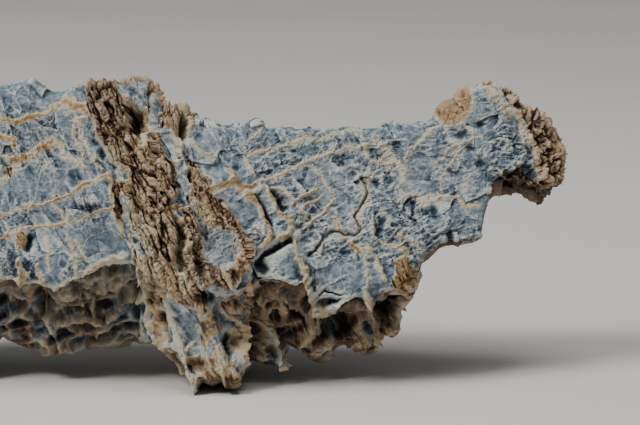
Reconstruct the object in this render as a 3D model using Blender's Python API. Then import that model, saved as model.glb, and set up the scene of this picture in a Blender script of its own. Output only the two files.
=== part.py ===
"""A weathered, veined aquascape stone: one slab that rests on two feet and ends in a raised head.

The body is one closed skin of cross sections strung along the stone's length. Every section runs
from its lowest point up the front, over the crown and down the back. Relief is then pushed out
along the skin's own directions: a fibrous band, a loop, ribs, ledges, pits, cracks and lumps.
Working lengths are millimetres: x runs from the tail to the head, y from the front to the back.
"""
import bpy
import bmesh
import numpy as np

MM = 0.001
STONE_LENGTH = 262.5

# Height of the upper edge along the length, (x, z).
UPPER_EDGE = [
    (0, 64), (2, 71), (7, 77), (11, 85), (18, 88), (23, 94), (32, 97), (38, 102), (47, 103.5),
    (53, 107), (60, 108.3), (69.6, 109.8),
    (73.5, 105.5), (80, 105), (87, 107), (95, 107.5), (101.6, 107), (106, 109.5), (110, 109.5),
    (113.5, 106.5), (116, 100), (124, 99), (128.6, 95), (138.7, 94), (146.3, 94.6), (152, 97),
    (155.8, 94), (165.6, 92.6), (196.8, 92.6), (211, 94), (217, 95), (220.5, 102), (228, 106.5),
    (237.7, 108.2), (242.7, 107), (247.1, 102.5), (253, 100), (258.6, 95.5), (262.5, 86)]
# Height of the lower edge along the length, (x, z); the feet reach below the resting plane.
LOWER_EDGE = [
    (0, 60), (1.5, 51), (6, 44), (11, 38), (15, 27), (20, 20), (23, 9), (27, -2), (45, -2),
    (49, 4), (52, 12), (56.6, 16.8), (63, 13), (74, 10), (92.8, 12.2), (108, 13), (115.6, 13),
    (122, 9), (128.5, -1.5), (130.5, -1.5), (132, 1.5), (139, 2.5), (144, 1.5), (148.1, 4.5), (161, 6.8), (163.5, 15),
    (168.4, 13.6), (172, 9.6), (176, 9.1), (182, 14.5), (187, 15), (191, 10.6), (195.2, 12),
    (198, 20), (202.5, 18.5), (203.5, 28), (208.3, 35.5), (209.6, 46), (217.5, 52), (230.4, 53.8),
    (233, 54.8), (234.6, 68), (238.5, 72), (251.1, 71.3), (254.8, 67.6), (258.3, 70.2),
    (263.6, 74)]
# Where each section's foot stands for a section whose crown is at x, (crown x, foot x).
SECTION_LEAN = [
    (0, 0), (190, 192), (198, 201), (204, 204), (219, 210), (224, 219), (229, 230),
    (238, 235), (245, 243.5), (263.6, 263.6)]
# Ledge where the front face ends and the undercut starts, (x, z).
LEDGE = [
    (0, 64), (6, 58), (20, 50), (40, 46), (60, 45.7), (75, 41.7), (85, 41.7), (90, 45.7),
    (100, 49.4), (107, 49.4), (119, 46.8), (132, 40.2), (144, 43.2), (149.6, 46), (153, 41.7),
    (169, 41.7), (174, 37.3), (178, 31), (185, 32.9), (192, 33.6), (199, 37.3), (206, 41),
    (212, 50), (222, 56), (232, 59), (236, 74), (246, 77), (256, 74), (263.6, 77)]
# Distance from the front-most plane at the ledge, crown, undercut, lower edge and back, (x, y).
LEDGE_DEPTH = [
    (0, 42), (3, 31), (12, 20), (30, 11), (56, 6), (90, 5), (115, 3), (128, 1.5), (146, 1),
    (155, 4), (200, 5), (212, 9), (235, 13), (255, 17), (263.6, 27)]
CROWN_DEPTH = [
    (0, 45), (6, 38), (30, 31), (60, 28), (112, 28), (120, 26), (150, 26), (212, 25), (219, 27),
    (228, 22), (245, 20), (256, 23), (263.6, 30)]
UNDERCUT_DEPTH = [
    (0, 44), (12, 31), (30, 21), (48, 17), (56, 18), (110, 17), (120, 8), (128, 5), (143, 5),
    (149, 14), (154, 19), (204, 19), (210, 14), (235, 15), (255, 20), (263.6, 30)]
LOWER_DEPTH = [
    (0, 45), (12, 36), (24, 24), (44, 22), (52, 28), (110, 28), (120, 10), (127, 3), (144, 5),
    (150, 18), (160, 23), (203, 22), (212, 19), (235, 18), (255, 23), (263.6, 31)]
BACK_DEPTH = [
    (0, 48), (3, 55), (12, 62), (30, 68), (70, 75), (130, 74), (180, 69), (208, 62), (222, 55),
    (240, 48), (256, 43), (263.6, 37)]
# Rise of the heel, the lowest part near the back, above the lower edge, (x, rise).
HEEL_RISE = [
    (0, 2), (18, 2), (24, -1), (44, -1), (54, 5), (112, 9), (123, 6), (129, 1), (133, -5), (144, -6),
    (150, 6), (164, 10), (204, 12), (214, 4), (263.6, 2)]

# Shifts over which the depth tables are averaged, so that their corners leave no crease.
SOFTENING = (-6.0, -3.0, 0.0, 3.0, 6.0)
# Spacing of the sections by stretch of the length, (from x, spacing).
SECTION_SPACING = [(0, 1.9), (58, 1.25), (88, 1.05), (212, 1.15)]
# Points round a section for each of its ten spans, from the lower edge up the front and back.
SPAN_POINTS = (10, 11, 12, 12, 12, 8, 8, 9, 9, 9)
# Triangles kept of the fine skin, most of them where the relief is sharp.
KEPT_SHARE = 0.222
# Points closer than this, in metres, become one.
MERGE_DISTANCE = 0.00008

# Left and right border of the fibrous band that cuts through the slab, (z, x).
BAND_LEFT = [
    (-1, 123), (16, 117), (24, 114.4), (38, 112.4), (47, 110.3), (56, 107.6), (64, 105.7),
    (73, 101.9), (82, 99.6), (90, 96.2), (101, 91.3), (111, 88)]
BAND_RIGHT = [
    (-1, 147), (6, 146), (28, 137), (40, 131), (56, 130.5), (64, 127), (68, 122.6), (75, 121.5),
    (82, 124.3), (90, 127.1), (99, 128.4), (111, 122)]
BAND_SWELL = 2.0
BAND_FIBRE_HEIGHT = 3.6
BAND_FIBRE_SIZE = (4.6, 24.0, 24.0)

# Raised rims on the front: points (x, z), height, breadth to the left and right of their run.
RIBS = {
    "tan rib beside the band": (
        [(126.7, 89), (133, 86), (138, 81.3), (144.2, 77.2)], 1.6, 1.6, 1.2),
    "dark edged rib": ([(146, 86), (150, 80.5), (152.5, 76)], 1.0, 1.2, 1.2),
    "ochre step": (
        [(115.5, 64), (123, 67.4), (137, 71.3), (148.6, 75.4), (154, 77.2), (168, 82.3),
         (182, 87.4), (196, 87.5)], 0.9, 1.3, 1.8),
    "first panel rim": (
        [(147.5, 74), (152.2, 68), (156.3, 60), (156.4, 55.5), (152.7, 52.3)], 3.0, 2.2, 1.3),
    "second panel rim": ([(154, 76), (158.7, 68.6), (162.5, 63.5), (166, 59)], 2.6, 2.2, 1.3),
    "third panel rim": (
        [(166, 59), (168.3, 52), (170, 44), (173.4, 34), (172.4, 24)], 3.4, 1.8, 1.6),
    "slanting panel foot": ([(149.8, 47), (155, 51.8), (165.5, 57.6)], 1.8, 1.6, 1.6),
    "right panel rim": (
        [(183, 57.3), (190, 51.8), (194.2, 43), (192, 35), (194, 26), (196, 18)], 2.2, 1.6, 1.6),
    "outer right rim": ([(195.9, 54), (199, 46), (199.8, 38), (199, 28)], 1.8, 1.5, 1.5),
    "cream vein": ([(196.1, 90.3), (201, 83.4), (207.6, 74.4)], 0.9, 1.8, 1.8),
    "short fin": ([(154.1, 29), (157, 18.5), (158.8, 10)], 3.0, 1.5, 1.5),
    "left hanging fin": ([(68, 58.6), (69.6, 46), (69.2, 29)], 2.2, 1.5, 1.5),
    "left short rib": ([(83.6, 54), (86.6, 46), (88, 40)], 1.0, 1.3, 1.3),
    "slab edge by the band": ([(82, 42), (92, 46.5), (104, 51.8), (108, 56)], 1.4, 1.8, 1.8),
    "head crust rim": (
        [(229, 108.3), (237, 105.4), (243, 96.6), (250, 88), (254, 78)], 1.5, 1.6, 3.0)}

# Narrow grooves on the front: points (x, z), depth, half width.
GROOVES = {
    "long crack": (
        [(187, 77), (191.5, 70.5), (188.3, 62), (189.4, 58.6), (182.9, 57.6), (178.6, 57.3),
         (173, 52), (169, 50)], 2.0, 1.1),
    "groove under the panels": ([(150.5, 50), (156, 55.5), (165, 60)], 2.4, 1.3),
    "cleft of the left block": ([(71, 57), (73.3, 48.4), (74.3, 41)], 2.0, 1.2),
    "groove left of the loop": ([(125, 62), (123.5, 54), (124, 47)], 2.6, 1.6),
    "slab step left of the band": ([(97, 84), (101.5, 72), (104.5, 60), (108, 50)], 1.8, 1.6)}

# Raised loop of crust round a hollow: middle (x, z), half lengths, tilt, rim and hollow depth.
LOOP_MIDDLE = (139.0, 54.8)
LOOP_HALF = (9.0, 13.5)
LOOP_TILT = 0.45
LOOP_RIM_HEIGHT = 3.8
LOOP_RIM_BREADTH = 0.22
LOOP_HOLLOW_DEPTH = 3.6

# Round hollows: (x, z, radius, depth).
HOLLOWS = [
    (177.6, 35.6, 3.2, 5.0), (166.4, 34, 3.4, 3.4), (157, 33.5, 4.0, 4.2), (150.8, 24, 4.6, 5.5),
    (164.6, 23, 4.4, 3.6), (183.5, 38.5, 4.2, 2.0), (185, 23, 4.6, 4.0), (203.5, 30, 3.6, 3.4),
    (73.4, 25, 4.6, 2.8), (82.5, 20, 4.6, 2.6), (93.6, 30.4, 4.6, 2.8), (106, 31.5, 4.4, 3.2),
    (107, 23, 4.0, 2.4), (66, 20, 4.0, 2.6), (62, 34, 4.2, 2.6), (81, 33, 3.6, 2.2),
    (128.5, 46, 3.4, 3.0), (132.5, 24, 4.6, 2.0), (186, 86, 3.2, 1.2), (174, 67, 3.0, 1.2),
    (198, 61.5, 3.2, 1.4), (197, 77.5, 3.2, 1.2), (222, 91.5, 3.6, 1.3), (214, 66, 3.6, 1.6)]
# Bold lumps: (x, z, radius, height).
LUMPS = [
    (121, 75, 4.6, 2.2), (165.8, 59.6, 2.8, 2.4), (152, 43.5, 3.2, 2.6), (205, 43, 4.6, 2.6),
    (178.8, 29.5, 3.0, 2.8), (100, 104, 6.0, 2.4), (112, 96, 5.0, 1.8), (126, 100, 3.6, 1.6),
    (199.5, 22, 4.6, 3.4), (188, 16, 4.6, 2.4), (98, 22, 4.0, 2.2), (118, 56, 4.4, 1.8),
    (222, 104, 4.6, 2.0), (257, 86, 4.4, 1.8), (250, 99, 4.2, 1.6), (133, 35, 4.0, 1.6)]

# Broken facets on the tail, crown and back: size (x, y, z) and depth of the cells.
FACET_SIZE = (26.0, 19.0, 15.0)
FACET_DEPTH = 4.2
# Small cells under the ledge: size and depth.
POCKET_SIZE = 9.0
POCKET_DEPTH = 2.4

# Slanting pleats of the slate faces: size of a pleat and height.
PLEAT_SIZE = (6.5, 30.0, 15.0)
PLEAT_SLANT = 0.6
PLEAT_HEIGHT = 1.3
# Stacked shelves under the left ledge: distance from shelf to shelf and overhang.
SHELF_STEP = 8.0
SHELF_OVERHANG = 2.0
SHELF_END = 112.0
# Crystalline crust over the end of the head: its run (x, z), breadth, lump size and height.
CRUST_RUN = [(224, 108), (238, 110), (247, 105), (256, 100), (262, 88), (260, 74), (252, 72)]
CRUST_BREADTH = 9.0
CRUST_LUMP = 5.5
CRUST_HEIGHT = 2.4

STONE_COLOUR = (0.188, 0.191, 0.178, 1.0)
STONE_ROUGHNESS = 0.86


def remove_old_objects():
    for old in list(bpy.data.objects):
        bpy.data.objects.remove(old, do_unlink=True)


def along(table, x):
    """Value of a (place, value) table at each x, straight between its entries."""
    pairs = np.array(table, float)
    return np.interp(x, pairs[:, 0], pairs[:, 1])


def softly_along(table, x):
    """Like along, with the corners between the entries rounded."""
    return sum(along(table, x + shift) for shift in SOFTENING) / len(SOFTENING)


def smooth_step(edge_low, edge_high, value):
    t = np.clip((value - edge_low) / (edge_high - edge_low), 0.0, 1.0)
    return t * t * (3.0 - 2.0 * t)


def lattice_value(cell, seed):
    """Fixed value between -1 and 1 for each whole-number cell."""
    mixed = cell[..., 0] * 73856093 ^ cell[..., 1] * 19349663 ^ cell[..., 2] * 83492791
    mixed = (mixed ^ seed * 668265263) & 0xFFFFFFFF
    mixed = ((mixed ^ mixed >> 15) * 2246822519) & 0xFFFFFFFF
    mixed = ((mixed ^ mixed >> 13) * 3266489917) & 0xFFFFFFFF
    return ((mixed ^ mixed >> 16) & 0xFFFFFF) / float(0x7FFFFF) - 1.0


def lumps_noise(points, size, seed):
    """Smooth lumps about `size` millimetres across, values from -1 to 1."""
    scaled = points / np.asarray(size, float)
    cell = np.floor(scaled).astype(np.int64)
    part = scaled - cell
    part = part * part * (3.0 - 2.0 * part)
    total = np.zeros(len(points))
    for corner in range(8):
        step = np.array([corner & 1, corner >> 1 & 1, corner >> 2 & 1])
        share = np.prod(np.where(step == 1, part, 1.0 - part), axis=1)
        total += share * lattice_value(cell + step, seed)
    return total


def layered_noise(points, size, layers, seed):
    """Lumps of several sizes, each layer half the size and half the height of the one before."""
    total = np.zeros(len(points))
    for layer in range(layers):
        total += lumps_noise(points, np.asarray(size, float) / 2 ** layer, seed + layer) / 2 ** layer
    return total


def crest_noise(points, size, seed):
    """Sharp crests with rounded valleys, values from 0 to 1."""
    first = 1.0 - np.abs(lumps_noise(points, size, seed)) * 2.0
    second = 1.0 - np.abs(lumps_noise(points, np.asarray(size, float) * 0.5, seed + 1)) * 2.0
    return np.clip(0.68 * first + 0.32 * second, 0.0, 1.0)


def cell_distances(points, size, seed):
    """Distance to the nearest and the second nearest of scattered cell middles, in cell sizes."""
    scaled = points / np.asarray(size, float)
    cell = np.floor(scaled).astype(np.int64)
    nearest = np.full(len(points), 9.0)
    second = np.full(len(points), 9.0)
    for number in range(27):
        step = np.array([number % 3 - 1, number // 3 % 3 - 1, number // 9 - 1])
        home = cell + step
        shift = np.stack([lattice_value(home, seed + axis) for axis in range(3)], axis=1)
        gap = np.linalg.norm(home + 0.5 + 0.42 * shift - scaled, axis=1)
        second = np.minimum(second, np.maximum(nearest, gap))
        nearest = np.minimum(nearest, gap)
    return nearest, second


def run_distance(x, z, run):
    """Distance to a broken line in the front plane, and +1 or -1 for the side it lies on."""
    best = np.full(len(x), 1e9)
    side = np.ones(len(x))
    for (x0, z0), (x1, z1) in zip(run[:-1], run[1:]):
        dx = x1 - x0
        dz = z1 - z0
        t = np.clip(((x - x0) * dx + (z - z0) * dz) / (dx * dx + dz * dz), 0.0, 1.0)
        gap = np.hypot(x - x0 - t * dx, z - z0 - t * dz)
        turn = np.where(dx * (z - z0) - dz * (x - x0) > 0, 1.0, -1.0)
        side = np.where(gap < best, turn, side)
        best = np.minimum(best, gap)
    return best, side


def section_places():
    """Crown x of every section, closer together where the stone has more relief."""
    places = []
    x = 0.0
    while x < STONE_LENGTH - 1.0:
        places.append(x)
        x += [spacing for start, spacing in SECTION_SPACING if x >= start][-1]
    places.append(STONE_LENGTH)
    return np.array(places)


def section_guides(crown_x):
    """Ten guide points (x, y, z) of the section under each crown x, lower edge first."""
    foot_x = along(SECTION_LEAN, crown_x)
    low = along(LOWER_EDGE, foot_x)
    high = along(UPPER_EDGE, crown_x)
    tall = high - low
    ledge = along(LEDGE, 0.6 * foot_x + 0.4 * crown_x)
    ledge = np.clip(ledge, low + 0.08 * tall, high - 0.3 * tall)
    face = high - ledge
    y_ledge = softly_along(LEDGE_DEPTH, crown_x)
    y_crown = softly_along(CROWN_DEPTH, crown_x)
    y_under = softly_along(UNDERCUT_DEPTH, foot_x)
    y_low = along(LOWER_DEPTH, foot_x)
    y_back = softly_along(BACK_DEPTH, crown_x)
    slope = y_crown - y_ledge
    behind = y_back - y_crown
    guides = [
        (y_low, low),
        (y_under, low + 0.55 * (ledge - low)),
        (y_ledge, ledge),
        (y_ledge + 0.26 * slope, ledge + 0.36 * face),
        (y_ledge + 0.60 * slope, ledge + 0.71 * face),
        (y_crown, high),
        (y_crown + 0.5 * behind, high - 0.09 * tall),
        (y_back - 0.08 * behind, high - 0.33 * tall),
        (y_back, low + 0.38 * tall),
        (y_low + 0.72 * (y_back - y_low), low + along(HEEL_RISE, foot_x))]
    points = []
    for depth, height in guides:
        share = np.clip((height - low) / tall, 0.0, 1.0)
        points.append(np.stack([foot_x + share * (crown_x - foot_x), depth, height], axis=1))
    return np.stack(points, axis=1)


def smooth_sections(guides, span_points):
    """Closed smooth curve through the guide points, with the given points for each span."""
    count = guides.shape[1]
    rows = []
    for span in range(count):
        before = guides[:, span - 1]
        start = guides[:, span]
        end = guides[:, (span + 1) % count]
        after = guides[:, (span + 2) % count]
        for step in range(span_points[span]):
            t = step / span_points[span]
            rows.append(0.5 * (2.0 * start + (end - before) * t
                               + (2.0 * before - 5.0 * start + 4.0 * end - after) * t * t
                               + (3.0 * start - before - 3.0 * end + after) * t ** 3))
    return np.stack(rows, axis=1)


def skin_directions(grid):
    """Outward unit direction at every point of the skin."""
    length_step = np.gradient(grid, axis=0)
    round_step = np.roll(grid, -1, axis=1) - np.roll(grid, 1, axis=1)
    outward = np.cross(length_step, round_step)
    return outward / np.maximum(np.linalg.norm(outward, axis=2, keepdims=True), 1e-9)


def band_share(points):
    """1 inside the fibrous band, 0 outside; the band cuts through the whole slab."""
    height = points[:, 2]
    sway = 2.2 * lumps_noise(points, 9.0, 41) + 0.06 * (points[:, 1] - 20.0)
    left = along(BAND_LEFT, height) + sway
    right = along(BAND_RIGHT, height) + sway
    inside = np.minimum(points[:, 0] - left, right - points[:, 0])
    across = (points[:, 0] - left) / (right - left)
    return smooth_step(-1.2, 2.2, inside), across


def band_relief(points):
    """Fibres and ridges that run along the band."""
    share, across = band_share(points)
    sheet = np.stack([across * 34.0, points[:, 1], points[:, 2]], axis=1)
    fibres = crest_noise(sheet, BAND_FIBRE_SIZE, 51)
    chips = crest_noise(points, 6.0, 57)
    return share * (BAND_SWELL + BAND_FIBRE_HEIGHT * (fibres - 0.3) + 1.2 * (chips - 0.4))


def rib_relief(x, z):
    total = np.zeros(len(x))
    for run, height, left_breadth, right_breadth in RIBS.values():
        gap, side = run_distance(x, z, run)
        breadth = np.where(side > 0, right_breadth, left_breadth)
        total = np.maximum(total, height * np.exp(-(gap / breadth) ** 2))
    return total


def groove_relief(x, z):
    total = np.zeros(len(x))
    for run, depth, half_width in GROOVES.values():
        gap, side = run_distance(x, z, run)
        total = np.maximum(total, depth * np.exp(-(gap / half_width) ** 2))
    return -total


def loop_relief(x, z):
    """Raised ring with a hollow inside; the ring leans with the band."""
    dx = x - LOOP_MIDDLE[0]
    dz = z - LOOP_MIDDLE[1]
    along_x = (dx * np.cos(LOOP_TILT) + dz * np.sin(LOOP_TILT)) / LOOP_HALF[0]
    along_z = (dz * np.cos(LOOP_TILT) - dx * np.sin(LOOP_TILT)) / LOOP_HALF[1]
    ring = np.hypot(along_x, along_z)
    rim = LOOP_RIM_HEIGHT * np.exp(-((ring - 1.0) / LOOP_RIM_BREADTH) ** 2)
    return rim - LOOP_HOLLOW_DEPTH * (1.0 - smooth_step(0.35, 0.85, ring))


def round_relief(x, z):
    total = np.zeros(len(x))
    for cx, cz, radius, depth in HOLLOWS:
        total -= depth * np.exp(-(((x - cx) ** 2 + (z - cz) ** 2) / radius ** 2) ** 1.5)
    for cx, cz, radius, height in LUMPS:
        total += height * np.exp(-((x - cx) ** 2 + (z - cz) ** 2) / radius ** 2)
    return total


def crust_relief(points):
    """Packed crystal lumps round the end of the head."""
    gap, side = run_distance(points[:, 0], points[:, 2], CRUST_RUN)
    nearest, second = cell_distances(points, CRUST_LUMP, 101)
    lump = smooth_step(0.0, 0.6, second - nearest) - 0.4
    return CRUST_HEIGHT * lump * (1.0 - smooth_step(0.55, 1.0, gap / CRUST_BREADTH))


def pleat_relief(points):
    """Slanting pleats like those of crumpled slate."""
    slanted = points.copy()
    slanted[:, 0] = points[:, 0] + PLEAT_SLANT * points[:, 2]
    return PLEAT_HEIGHT * (crest_noise(slanted, PLEAT_SIZE, 91) - 0.45)


def shelf_relief(points):
    """Shelves stacked like weathered layers; each swells downwards and breaks off."""
    level = points[:, 2] / SHELF_STEP + 0.45 * layered_noise(points, 16.0, 2, 111)
    part = level - np.floor(level)
    swell = smooth_step(0.0, 0.25, part) * (1.0 - part)
    return SHELF_OVERHANG * (swell - 0.3) * (1.0 - smooth_step(-8.0, 0.0, points[:, 0] - SHELF_END))


def stone_relief(points, outward):
    """Height of the relief at every point, measured outwards from the smooth skin."""
    x = points[:, 0]
    z = points[:, 2]
    front = smooth_step(-0.05, 0.45, -outward[:, 1])
    ledge = along(LEDGE, x)
    below = smooth_step(0.0, 5.0, ledge - z)
    relief = front * (rib_relief(x, z) + groove_relief(x, z))
    relief += front * (loop_relief(x, z) + round_relief(x, z))
    relief += band_relief(points)
    leaning = points + np.array([0.0, 0.0, 1.0]) * (0.35 * points[:, :1])
    nearest, second = cell_distances(leaning, FACET_SIZE, 61)
    relief -= (1.0 - front) * FACET_DEPTH * (smooth_step(0.0, 0.8, second - nearest) - 0.5)
    nearest, second = cell_distances(points, POCKET_SIZE, 71)
    relief -= front * below * POCKET_DEPTH * (smooth_step(0.05, 0.55, second - nearest) - 0.4)
    relief += front * below * shelf_relief(points) + crust_relief(points)
    relief += (1.0 - below) * pleat_relief(points)
    relief += 1.3 * layered_noise(points, 21.0, 3, 81)
    return relief


def closed_skin_mesh(name, grid):
    """Mesh of a grid of closed sections, with a middle point closing each end."""
    around = grid.shape[1]
    mesh = bpy.data.meshes.new(name)
    body = bmesh.new()
    rings = [[body.verts.new(tuple(p)) for p in ring] for ring in grid]
    for here, there in zip(rings[:-1], rings[1:]):
        for k in range(around):
            n = (k + 1) % around
            body.faces.new((here[k], here[n], there[n], there[k]))
    for ring, turned in ((rings[0], True), (rings[-1], False)):
        middle = body.verts.new(tuple(np.mean([tuple(v.co) for v in ring], axis=0)))
        for k in range(around):
            n = (k + 1) % around
            corners = (ring[n], ring[k], middle) if turned else (ring[k], ring[n], middle)
            body.faces.new(corners)
    bmesh.ops.recalc_face_normals(body, faces=body.faces)
    body.to_mesh(mesh)
    body.free()
    return mesh


def cut_resting_faces(mesh):
    """Cut the feet off at the resting plane and close them with flat faces."""
    body = bmesh.new()
    body.from_mesh(mesh)
    everything = body.verts[:] + body.edges[:] + body.faces[:]
    bmesh.ops.bisect_plane(
        body, geom=everything, dist=1e-6, plane_co=(0, 0, 0), plane_no=(0, 0, -1), clear_outer=True)
    open_edges = [edge for edge in body.edges if edge.is_boundary]
    bmesh.ops.holes_fill(body, edges=open_edges, sides=0)
    bmesh.ops.remove_doubles(body, verts=body.verts, dist=MERGE_DISTANCE)
    bmesh.ops.recalc_face_normals(body, faces=body.faces)
    body.to_mesh(mesh)
    body.free()


def stone_material():
    material = bpy.data.materials.new("stone")
    material.use_nodes = True
    shader = material.node_tree.nodes["Principled BSDF"]
    shader.inputs["Base Color"].default_value = STONE_COLOUR
    shader.inputs["Roughness"].default_value = STONE_ROUGHNESS
    shader.inputs["Metallic"].default_value = 0.0
    return material


def thin_out(body_object):
    """Keep only the triangles that the relief needs."""
    thinner = body_object.modifiers.new("thinner", "DECIMATE")
    thinner.decimate_type = "COLLAPSE"
    thinner.ratio = KEPT_SHARE
    thinner.use_collapse_triangulate = True
    graph = bpy.context.evaluated_depsgraph_get()
    return bpy.data.meshes.new_from_object(body_object.evaluated_get(graph))


def build_stone():
    skin = smooth_sections(section_guides(section_places()), SPAN_POINTS)
    outward = skin_directions(skin)
    flat_points = skin.reshape(-1, 3)
    flat_outward = outward.reshape(-1, 3)
    relief = stone_relief(flat_points, flat_outward)
    raised = (flat_points + flat_outward * relief[:, None]).reshape(skin.shape)
    low = raised.reshape(-1, 3).min(axis=0)
    high = raised.reshape(-1, 3).max(axis=0)
    raised = (raised - [(low[0] + high[0]) / 2, (low[1] + high[1]) / 2, 0.0]) * MM
    fine = closed_skin_mesh("fine skin", raised)
    skin_object = bpy.data.objects.new("fine skin", fine)
    bpy.context.scene.collection.objects.link(skin_object)
    mesh = thin_out(skin_object)
    bpy.data.objects.remove(skin_object, do_unlink=True)
    cut_resting_faces(mesh)
    mesh.materials.clear()
    mesh.materials.append(stone_material())
    mesh.name = "stone"
    stone = bpy.data.objects.new("stone", mesh)
    bpy.context.scene.collection.objects.link(stone)


def main():
    remove_old_objects()
    build_stone()


main()
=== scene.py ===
"""Looks of a weathered, veined aquascape stone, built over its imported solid.

The whole stone is one fine skin: closed sections strung along its length, raised by relief that is
worked out for all points at once. Lengths in this file are millimetres in the stone's own drawing:
x from the tail to the head, y from the front to the back, z up from the resting plane.
"""
import math

import bpy
import numpy as np
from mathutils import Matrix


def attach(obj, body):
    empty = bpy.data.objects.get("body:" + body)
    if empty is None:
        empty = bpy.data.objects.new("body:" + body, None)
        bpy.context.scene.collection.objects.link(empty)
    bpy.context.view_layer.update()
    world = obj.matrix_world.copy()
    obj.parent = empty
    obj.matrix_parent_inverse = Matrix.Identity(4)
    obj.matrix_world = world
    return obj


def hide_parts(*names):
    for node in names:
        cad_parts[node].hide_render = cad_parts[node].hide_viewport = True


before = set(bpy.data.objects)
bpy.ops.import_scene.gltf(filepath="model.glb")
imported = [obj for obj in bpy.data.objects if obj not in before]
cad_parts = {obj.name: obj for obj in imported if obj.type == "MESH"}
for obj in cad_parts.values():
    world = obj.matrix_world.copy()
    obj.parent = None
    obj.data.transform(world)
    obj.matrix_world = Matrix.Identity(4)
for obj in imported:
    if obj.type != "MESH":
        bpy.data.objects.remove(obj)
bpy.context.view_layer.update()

MM = 0.001

# Drawn outlines of the stone

# Crown x of the last section.
STONE_LENGTH = 262.5
# Upper and lower edge of the stone as it is seen: x, z.
UPPER_EDGE = [
    (0, 64), (2, 71), (7, 77), (11, 85), (18, 88), (23, 94), (32, 97), (38, 102), (47, 103.5),
    (53, 107), (60, 108.3), (69.6, 109.8),
    (73.5, 105.5), (80, 105), (87, 107), (95, 107.5), (101.6, 107), (106, 109.5), (110, 109.5),
    (113.5, 106.5), (116, 100), (124, 99), (128.6, 95), (138.7, 94), (146.3, 94.6), (152, 96.2),
    (155.8, 94), (165.6, 92.6), (196.8, 92.6), (211, 94), (217, 95), (220.5, 102), (228, 106.5),
    (237.7, 108.2), (242.7, 107), (247.1, 102.5), (253, 100), (258.6, 95.5), (262.5, 86)]
LOWER_EDGE = [
    (0, 60), (1.5, 51), (6, 44), (11, 38), (15, 27), (20, 20), (23, 9), (27, -2), (45, -2),
    (49, 4), (52, 12), (56.6, 16.8), (63, 13), (74, 10), (92.8, 12.2), (108, 13), (112, 14.5),
    (116, 18), (119.5, 14), (123, 9), (126, 4.4), (129, -0.4), (130.2, -0.4), (132, 5.2),
    (136, 4), (139, 5.4), (144, 5), (147, 6), (149, 9), (152, 8),
    (161, 6.8), (163.5, 15), (168.4, 13.6), (172, 9.6), (176, 9.1), (182, 14.5), (187, 15),
    (191, 10.6), (195.2, 12), (198, 20), (202.5, 18.5), (203.5, 28), (208.3, 35.5), (209.6, 46),
    (217.5, 52), (230.4, 53.8), (233, 54.8), (234.6, 68), (238.5, 72), (251.1, 71.3),
    (254.8, 67.6), (258.3, 70.2), (263.6, 74)]
# Each section leans a little: x of its crown, x of its lower edge.
SECTION_LEAN = [
    (0, 0), (190, 192), (198, 201), (204, 204), (219, 210), (224, 219), (229, 230),
    (238, 235), (245, 243.5), (263.6, 263.6)]
# Ledge between the front face and the undercut: x, z.
LEDGE = [
    (0, 64), (6, 58), (20, 50), (40, 46), (60, 45.7), (75, 41.7), (85, 41.7), (90, 45.7),
    (100, 49.4), (107, 49.4), (119, 46.8), (132, 40.2), (144, 43.2), (149.6, 46), (153, 41.7),
    (169, 41.7), (174, 37.3), (178, 31), (185, 32.9), (192, 33.6), (199, 37.3), (206, 41),
    (212, 50), (222, 56), (232, 59), (236, 74), (246, 77), (256, 74), (263.6, 77)]
# Depths of a section's parts: x, y.
LEDGE_DEPTH = [
    (0, 42), (3, 31), (12, 20), (30, 11), (56, 6), (90, 5), (115, 3), (128, 1.5), (146, 1),
    (155, 4), (200, 5), (212, 9), (235, 13), (255, 17), (263.6, 27)]
CROWN_DEPTH = [
    (0, 45), (6, 38), (30, 31), (60, 28), (112, 28), (120, 26), (150, 26), (212, 25), (219, 27),
    (228, 22), (245, 20), (256, 23), (263.6, 30)]
UNDERCUT_DEPTH = [
    (0, 44), (12, 31), (30, 21), (48, 17), (56, 18), (110, 17), (120, 8), (128, 5), (143, 5),
    (149, 14), (154, 19), (204, 19), (210, 14), (235, 15), (255, 20), (263.6, 30)]
LOWER_DEPTH = [
    (0, 45), (12, 36), (24, 24), (44, 22), (52, 28), (110, 28), (120, 10), (127, 3), (144, 5),
    (150, 18), (160, 23), (203, 22), (212, 19), (235, 18), (255, 23), (263.6, 31)]
BACK_DEPTH = [
    (0, 48), (3, 55), (12, 62), (30, 68), (70, 75), (130, 74), (180, 69), (208, 62), (222, 55),
    (240, 48), (256, 43), (263.6, 37)]
# How far the rear of the resting side lies over the lower edge: x, rise.
HEEL_RISE = [
    (0, 2), (18, 2), (24, -1), (44, -1), (54, 5), (112, 9), (123, 6), (129, 1), (133, -5),
    (144, -6), (150, 6), (164, 10), (204, 12), (214, 4), (263.6, 2)]
# Shifts in x over which a depth is averaged.
SOFTENING = (-6.0, -3.0, 0.0, 3.0, 6.0)

# Borders of the fibrous band: z, x.
BAND_LEFT = [
    (-1, 123), (16, 117), (24, 114.4), (38, 112.4), (47, 110.3), (56, 107.6), (64, 105.7),
    (73, 101.9), (82, 99.6), (90, 96.2), (101, 91.3), (111, 88)]
BAND_RIGHT = [
    (-1, 147), (6, 146), (28, 137), (40, 131), (56, 130.5), (64, 127), (68, 122.6), (75, 121.5),
    (82, 124.3), (90, 127.1), (99, 128.4), (111, 122)]

# The upright plane on which the face was drawn, and the place it is seen from.
DRAWING_DEPTH = 5.0
EYE = (175.0, -875.0, 222.0)

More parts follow.
